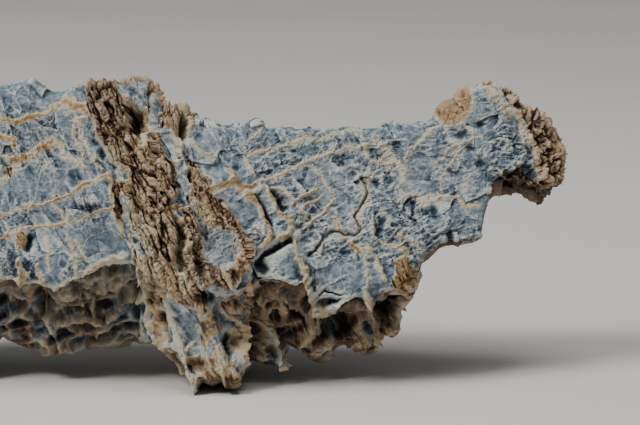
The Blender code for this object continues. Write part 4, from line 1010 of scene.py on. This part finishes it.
def scalloped_underside(points, lip_depth):
    """Depth of the scalloped cells under the lip, share of their thin walls, stained patches."""
    bent = points + 0.9 * noise_shift(points, 3.4, 73)
    bent[:, 2] -= 0.22 * points[:, 0]
    nearest, second, _ = broken_cells(bent, (9.0, 9.0, 5.4), 71)
    wall = 1.0 - smooth_step(0.0, 0.26, second - nearest)
    bowl = smooth_step(0.0, 0.8, second - nearest) - 0.5
    nearest, second, _ = broken_cells(bent, 3.2, 77)
    small_bowl = smooth_step(0.0, 0.8, second - nearest) - 0.5
    recess = 4.6 * (1.0 - 0.65 * smooth_step(3.0, 15.0, lip_depth))
    patches = smooth_step(0.0, 0.4, lumps_noise(points, 7.0, 79))
    return recess + 2.6 * bowl + 0.7 * small_bowl, wall, patches


def outlined_share(x, z, rough, front, outline, softness):
    """Points near an outline, and how far each is inside it, from 0 to 1 over a ragged border."""
    near = around_run(x, z, outline, OUTLINE_REACH)
    depth = outline_depth(x[near], z[near], outline) + OUTLINE_RAGGED * rough[near]
    return near, front[near] * smooth_step(-softness, softness, depth)


def splinter_the_band(points, x, z, look):
    """Raise splinters where the crust is, up to the head; pale streaks and the foot's slate."""
    here = np.flatnonzero((look["crusty"] > 0.01) & (points[:, 0] < HEAD_START))
    crusty = look["crusty"][here]
    splinters, streak = splintered_crust(points[here], x[here], z[here])
    on_foot = look["front"][here] * (1.0 - smooth_step(*FOOT_TOP, points[here, 2]))
    strength = crusty * (1.0 - 0.6 * np.maximum(look["below"][here], on_foot))
    look["relief"][here] += strength * splinters
    pale = crusty * smooth_step(0.15, 0.5, streak)
    pale *= 1.0 - 0.6 * smooth_step(84.0, 96.0, points[here, 2])
    look["brown"][here] *= 1.0 - 0.7 * pale
    look["rust"][here] -= 0.22 * pale
    look["brown"][here] *= 1.0 - 0.35 * on_foot
    patch = lumps_noise(points[here], 3.4, 163)
    look["rust"][here] -= 0.34 * on_foot * smooth_step(0.15, 0.4, patch)
    look["brown"][here] += 0.5 * on_foot * smooth_step(0.15, 0.4, -patch)


def crust_the_head(points, look):
    """Raise the head's lumpy crust, with pale lumps here and there."""
    here = np.flatnonzero((look["crusty"] > 0.01) & (points[:, 0] >= HEAD_START))
    crusty = look["crusty"][here]
    look["relief"][here] += crusty * lumpy_crust(points[here])
    pale = crusty * smooth_step(0.1, 0.4, lumps_noise(points[here], 4.5, 159))
    look["brown"][here] *= 1.0 - 0.75 * pale


def stone_surface(points, outward):
    """Fine relief and broad forms in mm, stains rust and brown, shade and share of crust."""
    x, z = drawn_place(points)
    x = x + 0.8 * lumps_noise(points, 4.6, 11) + 0.45 * lumps_noise(points, 1.6, 12)
    z = z + 0.8 * lumps_noise(points, 4.6, 13) + 0.45 * lumps_noise(points, 1.6, 14)
    rough = 0.7 * lumps_noise(points, 2.6, 15) + 0.6 * lumps_noise(points, 1.0, 16)
    broken = smooth_step(-0.75, -0.15, lumps_noise(points, 5.0, 17))
    front = smooth_step(-0.12, 0.18, -outward[:, 1])
    behind = 1.0 - front
    lip_depth = under_the_lip(x, z)
    below = front * smooth_step(0.0, 1.4, lip_depth)
    band = band_share(points)
    relief, forms, rust = broken_back(points, behind)

    # underside, and the pale rim of the lip over it
    scallops, wall, patches = scalloped_underside(points, lip_depth)
    relief -= below * scallops
    rust = np.maximum(rust, below * np.maximum(0.3 * wall, 0.5 * wall * patches))
    brown = 0.55 * below * patches
    lip_rim = front * broken * np.exp(-((lip_depth + 0.5) / 0.5) ** 2)
    rust = np.maximum(rust, (0.38 + 0.14 * rough) * lip_rim)
    # painted shade under the lip, weaker on the cell walls and on the right
    shade = below * (1.0 - 0.5 * wall) * (1.2 - 0.72 * smooth_step(140.0, 155.0, points[:, 0]))

    # the band's own colours, then the outlined areas over it
    rust = rust + band * (0.55 + 0.12 * rough - rust)
    brown = brown + band * (0.32 + 0.3 * rough - brown)
    crusty = band.copy()
    for outline, rusty, browned, lift, softness in AREAS.values():
        near, share = outlined_share(x, z, rough, front, outline, softness)
        rust[near] += share * (rusty - rust[near])
        brown[near] += share * (browned - brown[near])
        crusty[near] += share * (min(1.0, 1.3 * browned + 0.5 * (rusty > 0.4)) - crusty[near])
        forms[near] += share * lift
    # painted shade in some listed places and a darker colour in the others
    for outline, darkness, softness in SHADES.values():
        near, share = outlined_share(x, z, rough, front, outline, softness)
        shade[near] = np.maximum(shade[near], darkness * share)

    # the drawn features; a vein's core breaks off in places, its cream border runs on
    step_high, step_rust, step_brown = drawn_steps(x, z, rough)
    vein_high, vein_rust, vein_brown = drawn_lines(x, z, rough, VEINS, 0.7)
    vein_rust = np.where(vein_rust > 0.3, 0.3 + (vein_rust - 0.3) * broken, vein_rust)
    rib_high, rib_rust, rib_brown = drawn_lines(x, z, rough, RIBS, 0.3)
    rugged = 0.8 + 0.5 * crest_noise(points, 2.4, 21, 2)
    forms += front * step_high
    relief += front * (vein_high * broken + rugged * rib_high + drawn_grooves(x, z))
    relief += front * drawn_spots(x, z)
    # the ribs take less painted shade
    shade *= 1.0 - 0.75 * smooth_step(0.3, 0.6, rib_rust)
    for stain in (step_rust, vein_rust, rib_rust):
        rust = np.maximum(rust, front * stain)
    for stain in (step_brown, vein_brown, 0.4 * rib_brown):
        brown = np.maximum(brown, front * stain)

    # crust round the end of the head and behind it
    gap = run_distance(points[:, 0], points[:, 2], HEAD_CRUST_RUN)[0]
    crust = behind * (1.0 - smooth_step(5.0, 10.0, gap + 1.6 * lumps_noise(points, 3.4, 103)))
    crusty = np.maximum(crusty, crust)
    rust = np.maximum(rust, 0.6 * crust)
    brown = np.maximum(brown, 0.6 * crust)
    from_rear_lump = np.hypot(points[:, 0] - REAR_LUMP[0], points[:, 2] - REAR_LUMP[1])
    rear = 1.0 - smooth_step(7.0, 11.0, from_rear_lump)
    rust = np.maximum(rust, 0.66 * rear)
    brown = np.maximum(brown, (0.4 + 0.3 * rough) * rear)
    crusty *= 1.0 - 0.5 * rear

    # fine relief: splinters of the band, lumps of the head, crumpled slate elsewhere
    relief += 1.6 * band * smooth_step(20.0, 50.0, points[:, 2])
    look = {"relief": relief, "rust": rust, "brown": brown, "crusty": crusty, "front": front,
            "below": below}
    splinter_the_band(points, x, z, look)
    crust_the_head(points, look)
    plain = np.flatnonzero(crusty < 0.99)
    calm = (1.0 - crusty[plain]) * (1.0 - 0.35 * below[plain])
    relief[plain] += calm * crumpled_slate(points[plain])
    forms += 1.3 * layered_noise(points, 21.0, 3, 81)

    # what faces down keeps near the outline, takes painted shade and is stained rust and brown
    downward = smooth_step(0.5, 0.95, -outward[:, 2])
    relief *= 1.0 - 0.6 * downward
    shade = np.maximum(shade, downward)
    soiled = smooth_step(0.15, 0.55, -outward[:, 2]) * (0.7 + 0.5 * rough)
    rust = np.maximum(rust, 0.45 * soiled)
    brown = np.maximum(brown, soiled * (0.35 + 0.45 * smooth_step(120.0, 150.0, points[:, 0])))
    return relief, forms, np.clip(rust, 0, 1), np.clip(brown, 0, 1), shade, crusty


def soft_average(grid, steps):
    """Average over a small window: shifts along the length and round the section, twice."""
    window = 2 * steps + 1
    for _ in range(2):
        padded = np.pad(grid, ((steps, steps), (0, 0)), mode="edge")
        grid = sum(padded[k:k + grid.shape[0]] for k in range(window)) / window
        grid = sum(np.roll(grid, k, axis=1) for k in range(-steps, steps + 1)) / window
    return grid


# Meshes

def closed_skin_mesh(name, grid, values):
    """Mesh of a grid of closed sections, one middle point closing each end."""
    lengths, around = grid.shape[:2]
    points = grid.reshape(-1, 3)
    ends = np.array([grid[0].mean(axis=0), grid[-1].mean(axis=0)])
    points = np.concatenate([points, ends])
    row = np.arange(lengths - 1)[:, None] * around
    here = np.arange(around)[None, :]
    there = (here + 1) % around
    quads = np.stack([row + here, row + there, row + around + there, row + around + here],
                     axis=-1).reshape(-1, 4)
    last = (lengths - 1) * around
    first_middle, last_middle = len(points) - 2, len(points) - 1
    first_fan = np.stack([there[0], here[0], np.full(around, first_middle)], axis=1)
    last_fan = np.stack([last + here[0], last + there[0], np.full(around, last_middle)], axis=1)
    corners = np.concatenate([quads.ravel(), first_fan.ravel(), last_fan.ravel()])
    totals = np.concatenate([np.full(len(quads), 4), np.full(2 * around, 3)])
    mesh = bpy.data.meshes.new(name)
    mesh.vertices.add(len(points))
    mesh.vertices.foreach_set("co", points.ravel())
    mesh.loops.add(len(corners))
    mesh.loops.foreach_set("vertex_index", corners)
    mesh.polygons.add(len(totals))
    mesh.polygons.foreach_set("loop_start", np.concatenate([[0], np.cumsum(totals)[:-1]]))
    mesh.polygons.foreach_set("loop_total", totals)
    mesh.update()
    for key, field in values.items():
        layer = mesh.attributes.new(key, "FLOAT", "POINT")
        full = np.concatenate([field.ravel(), [field[0].mean(), field[-1].mean()]])
        layer.data.foreach_set("value", full.astype(np.float32))
    mesh.validate()
    return mesh


def signed_volume(mesh):
    """Sum of corner products over all triangles; above zero when faces point outwards."""
    mesh.calc_loop_triangles()
    count = len(mesh.loop_triangles)
    index = np.zeros(count * 3, np.int32)
    mesh.loop_triangles.foreach_get("vertices", index)
    place = np.zeros(len(mesh.vertices) * 3)
    mesh.vertices.foreach_get("co", place)
    corner = place.reshape(-1, 3)[index.reshape(-1, 3)]
    return float(np.einsum("ij,ij->i", corner[:, 0], np.cross(corner[:, 1], corner[:, 2])).sum())


def thinned(mesh, most_triangles):
    """Copy with at most the given number of triangles, kept where the relief is sharp."""
    mesh.calc_loop_triangles()
    ratio = most_triangles / len(mesh.loop_triangles)
    holder = bpy.data.objects.new("holder", mesh)
    bpy.context.scene.collection.objects.link(holder)
    if ratio < 1.0:
        thinner = holder.modifiers.new("thinner", "DECIMATE")
        thinner.ratio = ratio
        thinner.use_collapse_triangulate = True
    graph = bpy.context.evaluated_depsgraph_get()
    result = bpy.data.meshes.new_from_object(holder.evaluated_get(graph))
    bpy.data.objects.remove(holder, do_unlink=True)
    return result


def add_piece(name, mesh, material):
    """Put a mesh into the scene, smooth, with one material."""
    mesh.name = name
    mesh.materials.clear()
    mesh.materials.append(material)
    mesh.polygons.foreach_set("use_smooth", np.ones(len(mesh.polygons), bool))
    piece = bpy.data.objects.new(name, mesh)
    bpy.context.scene.collection.objects.link(piece)
    return piece


# Materials

# Tones of the stone, from its hollows to its crests or from pale stains to dark ones.
# The dark hollow tones and pale crest tones are partly painted shade and painted highlight.
SLATE_TONES = [
    (0.30, "#323e49"), (0.52, "#475662"), (0.74, "#67757f"), (0.92, "#909a9c"), (1.0, "#b4b6ae")]
STAIN_TONES = [
    (0.15, "#949a97"), (0.34, "#bdb39d"), (0.55, "#b09a76"), (0.78, "#967851"), (1.0, "#7b6041")]
CRUST_TONES = [
    (0.34, "#2a1d14"), (0.55, "#483528"), (0.74, "#6c5643"), (0.90, "#8f7762"), (1.0, "#b09a83")]
OCHRE_TONES = [(0.34, "#2a190d"), (0.6, "#5a3b23"), (0.85, "#8f6c48"), (1.0, "#b49a74")]
BOARD_TONES = [(0.3, "#cfccc6"), (0.7, "#d6d3cd")]
# Scales of the patterns in one metre. On the stone: mottling 6 mm across, patches of the crust
# 3 mm, speckle 1 mm, grain 0.4 mm. On the board: clouds a third of a metre, stipple 1.7 mm.
MOTTLE_SCALE = 160.0
PATCH_SCALE = 330.0
SPECKLE_SCALE = 950.0
GRAIN_SCALE = 2600.0
CLOUD_SCALE = 3.0
STIPPLE_SCALE = 600.0


def hex_colour(text):
    """sRGB hex text to linear colour with alpha."""
    parts = [int(text[k:k + 2], 16) / 255.0 for k in (1, 3, 5)]
    linear = [p / 12.92 if p <= 0.04045 else ((p + 0.055) / 1.055) ** 2.4 for p in parts]
    return (*linear, 1.0)


def add(tree, kind, values=None, links=None, stops=None, **options):
    """Add one node: set its options and socket values, link sockets into it, set ramp stops.

    Sockets without a name of their own go by number: Math has its numbers at 0, 1 and 2. Map
    Range has its value at 0, the old range at 1 and 2 and the new one at 3 and 4. Mix has its
    share at 0 and two colours at 6 and 7.
    """
    made = tree.nodes.new(kind)
    for key, value in options.items():
        setattr(made, key, value)
    for key, value in (values or {}).items():
        made.inputs[key].default_value = value
    for key, socket in (links or {}).items():
        tree.links.new(socket, made.inputs[key])
    if stops:
        ramp = made.color_ramp
        while len(ramp.elements) < len(stops):
            ramp.elements.new(0.5)
        for element, (place, colour) in zip(ramp.elements, stops):
            element.position = place
            element.color = hex_colour(colour)
    return made


def new_material(name):
    """A material with its node tree and its surface shader."""
    material = bpy.data.materials.new(name)
    material.use_nodes = True
    tree = material.node_tree
    shader = tree.nodes["Principled BSDF"]
    return material, tree, shader


def veined_slate():
    """Blue-grey slaty limestone, weathered by water, with iron-stained calcite veins.

    Its face is matt and crumpled; crests are worn pale and partly a painted highlight, hollows are
    dark blue and partly painted shade; veins run from cream borders to ochre cores, and the
    fibrous band and crust are brown.
    """
    material, tree, shader = new_material("weathered_veined_slate")
    place = add(tree, "ShaderNodeTexCoord").outputs["Object"]
    rust, brown, height, shade_amount = (
        add(tree, "ShaderNodeAttribute", attribute_name=name).outputs["Fac"]
        for name in ("rust", "brown", "height", "shade"))
    mottle, patch, speckle, grain = (
        add(tree, "ShaderNodeTexNoise", {"Scale": scale, "Detail": detail, "Roughness": breaks},
            {"Vector": place})
        for scale, detail, breaks in ((MOTTLE_SCALE, 5.0, 0.6), (PATCH_SCALE, 4.0, 0.6),
                                      (SPECKLE_SCALE, 4.0, 0.65), (GRAIN_SCALE, 3.0, 0.6)))
    # crest tone: relief height with a little speckle and mottling, so that colour borders break up
    # darker in hollows and paler on crests: partly painted shade and painted highlight
    mixed = add(tree, "ShaderNodeMath", {1: 0.26}, {0: speckle.outputs["Fac"]},
                operation="MULTIPLY")
    crest = add(tree, "ShaderNodeMath", {}, {0: height, 1: mixed.outputs[0]}, operation="ADD")
    tone = add(tree, "ShaderNodeMath", {1: 0.30}, {0: mottle.outputs["Fac"]}, operation="MULTIPLY")
    crest_tone = add(tree, "ShaderNodeMath", {}, {0: crest.outputs[0], 1: tone.outputs[0]},
                     operation="ADD")
    slate, crust, ochre = (
        add(tree, "ShaderNodeValToRGB", links={"Fac": crest_tone.outputs[0]}, stops=tones)
        for tones in (SLATE_TONES, CRUST_TONES, OCHRE_TONES))
    # stains: cream, tan and ochre as the rust value rises, shifted a little by the speckle
    stain_place = add(tree, "ShaderNodeMath", {1: 0.5}, {0: speckle.outputs["Fac"]},
                      operation="SUBTRACT")
    stain_shift = add(tree, "ShaderNodeMath", {1: 0.55, 2: 0.0}, {0: stain_place.outputs[0]},
                      operation="MULTIPLY_ADD")
    tree.links.new(rust, stain_shift.inputs[2])
    stained = add(tree, "ShaderNodeValToRGB", links={"Fac": stain_shift.outputs[0]},
                  stops=STAIN_TONES)
    stain_share = add(tree, "ShaderNodeMapRange", {1: 0.08, 2: 0.34, 3: 0.0, 4: 1.0},
                      {0: stain_shift.outputs[0]}, interpolation_type="SMOOTHSTEP")
    face = add(tree, "ShaderNodeMix", links={0: stain_share.outputs[0], 6: slate.outputs[0],
                                             7: stained.outputs[0]}, data_type="RGBA")
    # crust: dark brown between the splinters and worn paler on their crests, partly painted shade
    # and highlight; redder in patches
    patch_share = add(tree, "ShaderNodeMapRange", {1: 0.45, 2: 0.7, 3: 0.0, 4: 0.45},
                      {0: patch.outputs["Fac"]}, interpolation_type="SMOOTHSTEP")
    crust = add(tree, "ShaderNodeMix", links={0: patch_share.outputs[0], 6: crust.outputs[0],
                                              7: ochre.outputs[0]}, data_type="RGBA")
    crust_share = add(tree, "ShaderNodeMapRange", {1: 0.2, 2: 0.7, 3: 0.0, 4: 1.0}, {0: brown},
                      interpolation_type="SMOOTHSTEP")
    colour = add(tree, "ShaderNodeMix", links={0: crust_share.outputs[0], 6: face.outputs[2],
                                               7: crust.outputs[2]}, data_type="RGBA")
    # painted shade in hollows, by their depth under the averaged relief; the shade value adds
    # painted shade under overhangs and a darker colour in some outlined places
    shade = add(tree, "ShaderNodeMapRange", {1: 0.05, 2: 0.42, 3: 0.56, 4: 1.0}, {0: height},
                interpolation_type="SMOOTHSTEP")
    painted_shade_and_tone = add(tree, "ShaderNodeMapRange", {1: 0.0, 2: 1.2, 3: 1.0, 4: 0.3}, {0: shade_amount})
    dark = add(tree, "ShaderNodeMath", {}, {0: shade.outputs[0], 1: painted_shade_and_tone.outputs[0]},
               operation="MULTIPLY")
    shaded = add(tree, "ShaderNodeMix", {0: 1.0}, {6: colour.outputs[2], 7: dark.outputs[0]},
                 data_type="RGBA", blend_type="MULTIPLY")
    tree.links.new(shaded.outputs[2], shader.inputs["Base Color"])
    # dry stone is matt, with a weak gloss on worn spots
    rough = add(tree, "ShaderNodeMapRange", {1: 0.3, 2: 0.7, 3: 0.72, 4: 0.95},
                {0: speckle.outputs["Fac"]})
    tree.links.new(rough.outputs[0], shader.inputs["Roughness"])
    shader.inputs["Specular IOR Level"].default_value = 0.35
    # bumps 0.6 mm and 0.25 mm high
    coarse = add(tree, "ShaderNodeBump", {"Strength": 0.55, "Distance": 0.0006},
                 {"Height": speckle.outputs["Fac"]})
    fine = add(tree, "ShaderNodeBump", {"Strength": 0.5, "Distance": 0.00025},
               {"Height": grain.outputs["Fac"], "Normal": coarse.outputs[0]})
    tree.links.new(fine.outputs[0], shader.inputs["Normal"])
    return material


def pale_board():
    """Painted fibreboard table top, rolled matt white; faint roller stipple and mottling."""
    material, tree, shader = new_material("matt_painted_board")
    place = add(tree, "ShaderNodeTexCoord").outputs["Object"]
    cloud = add(tree, "ShaderNodeTexNoise", {"Scale": CLOUD_SCALE, "Detail": 3.0},
                {"Vector": place})
    tint = add(tree, "ShaderNodeValToRGB", links={"Fac": cloud.outputs["Fac"]},
               stops=BOARD_TONES)
    tree.links.new(tint.outputs[0], shader.inputs["Base Color"])
    stipple = add(tree, "ShaderNodeTexNoise", {"Scale": STIPPLE_SCALE, "Detail": 2.0},
                  {"Vector": place})
    rough = add(tree, "ShaderNodeMapRange", {1: 0.3, 2: 0.7, 3: 0.55, 4: 0.7},
                {0: stipple.outputs["Fac"]})
    tree.links.new(rough.outputs[0], shader.inputs["Roughness"])
    bump = add(tree, "ShaderNodeBump", {"Strength": 0.15, "Distance": 0.0002},
               {"Height": stipple.outputs["Fac"]})
    tree.links.new(bump.outputs[0], shader.inputs["Normal"])
    return material


# The stone

# Steps between sections, each from its own crown x on.
SPACING = [
    (0, 0.8), (54, 0.27), (88, 0.24), (160, 0.26)]
# Points in each of the ten spans round a section, the front's spans finest.
SPANS = ((
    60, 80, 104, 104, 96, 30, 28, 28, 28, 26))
# Each piece stays under 200,000 triangles.
MOST_TRIANGLES = 198000
# The row's zero in the drawing: middle of the solid's box, under it.
DRAWING_ZERO = (131.17, 38.7)
# Depth in the drawing that fine relief hardly passes, 2 mm in front of the solid's box.
FRONT_LIMIT = -6.2
# How far the rows over each end are drawn in to its middle, as a share of the way.
END_ROWS = np.linspace(0.05, 0.95, 20)
# The skin's pieces and the crown x where each begins and ends.
SKIN_PIECES = {"tail_block_skin": (0.0, 93.0), "banded_middle_skin": (93.0, 155.0),
               "slab_and_head_skin": (155.0, 263.0)}
# How far the closing sections of a piece sink under its neighbour.
SINK = (0.25, 0.7, 1.4, 2.2, 3.0)
# Steps each way over which the relief is averaged, for the height of each point over it.
AVERAGE_STEPS = 8
# Share by which relief past the front limit is drawn back to it.
DRAWN_BACK = 0.7
# Angle past which an edge between two faces stays sharp.
SHARP_ANGLE = math.radians(35.0)


def skin_piece(name, start, end, places, raised, outward, values):
    """One closed length of the skin; its closing sections lie just under the next piece."""
    first, last = np.searchsorted(places, [start, end])
    low = max(first - len(SINK), 0)
    high = min(last + len(SINK), len(places) - 1)
    grid = raised[low:high + 1].copy()
    for step, sunk in enumerate(SINK, 1):
        if low < first:
            grid[first - low - step] -= sunk * outward[first - step]
        if high > last:
            grid[last - low + step] -= sunk * outward[last + step]
    fine = closed_skin_mesh(name, grid * MM, {k: v[low:high + 1] for k, v in values.items()})
    if signed_volume(fine) < 0:
        fine.flip_normals()
    return thinned(fine, MOST_TRIANGLES)


def build_stone(material):
    """Raise the smooth skin by its relief and make its pieces."""
    places = section_places(SPACING)
    skin = with_closed_ends(smooth_sections(section_guides(places), SPANS))
    places = np.pad(places, len(END_ROWS), mode="edge")
    outward = skin_directions(skin)
    fields = stone_surface(skin.reshape(-1, 3), outward.reshape(-1, 3))
    relief, forms, rust, brown, shade, crusty = (
        field.reshape(skin.shape[:2]) for field in fields)
    local = relief - soft_average(relief, AVERAGE_STEPS)
    height = np.clip(0.5 + local / (1.5 + 1.1 * crusty + 1.1 * shade), 0.0, 1.0)
    raised = skin + outward * (relief + forms)[..., None]
    raised[..., 2] = np.maximum(raised[..., 2], 0.0)
    # what stands out furthest in front is drawn back a little
    raised[..., 1] += DRAWN_BACK * np.maximum(FRONT_LIMIT - raised[..., 1], 0.0)
    raised -= np.array([DRAWING_ZERO[0], DRAWING_ZERO[1], 0.0])
    values = {"rust": rust, "brown": brown, "height": height, "shade": shade}
    for name, (start, end) in SKIN_PIECES.items():
        mesh = skin_piece(name, start, end, places, raised, outward, values)
        piece = add_piece(name, mesh, material)
        mesh.set_sharp_from_angle(angle=SHARP_ANGLE)
        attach(piece, "root")
        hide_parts("stone")


# Floor, light and camera

# The floor's half width, in metres.
FLOOR_HALF = 3.0
# Light of the room: colour and strength.
ROOM_COLOUR = "#d9dde0"
ROOM_STRENGTH = 0.22
# Softboxes: place and side in metres, power. Both are turned to the lit place.
SOFTBOXES = {
    "overhead_softbox": ((0.1, -0.7, 2.5), 1.3, 38.0),
    "left_softbox": ((-1.5, -1.3, 2.1), 0.8, 68.0)}
LIT_PLACE = (0.02, 0.0, 0.05)
# The photograph's width, and the distance of its eye, both in its own pixels.
PHOTO_WIDTH = 640.0
EYE_DISTANCE = 2500.0
SENSOR_WIDTH = 36.0
# The camera's turn from looking straight down: ten degrees below level.
CAMERA_TURN = 80.0


def build_stage():
    """A wide pale table and soft lights from above, the left and the front."""
    half = FLOOR_HALF
    mesh = bpy.data.meshes.new("floor")
    mesh.from_pydata([(-half, -half, 0), (half, -half, 0), (half, half, 0), (-half, half, 0)],
                     [], [(0, 1, 2, 3)])
    floor = add_piece("floor", mesh, pale_board())
    world = bpy.data.worlds.new("soft_room")
    bpy.context.scene.world = world
    world.use_nodes = True
    room = world.node_tree.nodes["Background"]
    room.inputs["Color"].default_value = hex_colour(ROOM_COLOUR)
    room.inputs["Strength"].default_value = ROOM_STRENGTH
    for name, (place, side, power) in SOFTBOXES.items():
        light = bpy.data.lights.new(name, "AREA")
        light.size = side
        light.energy = power
        lamp = bpy.data.objects.new(name, light)
        lamp.location = place
        away = np.array(place) - np.array(LIT_PLACE)
        lamp.rotation_euler = (math.acos(away[2] / np.linalg.norm(away)), 0.0,
                               math.atan2(away[0], -away[1]))
        bpy.context.scene.collection.objects.link(lamp)


def build_camera():
    """A long lens ten degrees above level, framed like the photograph."""
    lens = bpy.data.cameras.new("camera")
    lens.sensor_width = SENSOR_WIDTH
    lens.lens = SENSOR_WIDTH * EYE_DISTANCE / PHOTO_WIDTH
    camera = bpy.data.objects.new("camera", lens)
    camera.location = ((EYE[0] - DRAWING_ZERO[0]) * MM, (EYE[1] - DRAWING_ZERO[1]) * MM,
                       EYE[2] * MM)
    camera.rotation_euler = (math.radians(CAMERA_TURN), 0.0, 0.0)
    bpy.context.scene.collection.objects.link(camera)
    bpy.context.scene.camera = camera


build_stone(veined_slate())
build_stage()
build_camera()
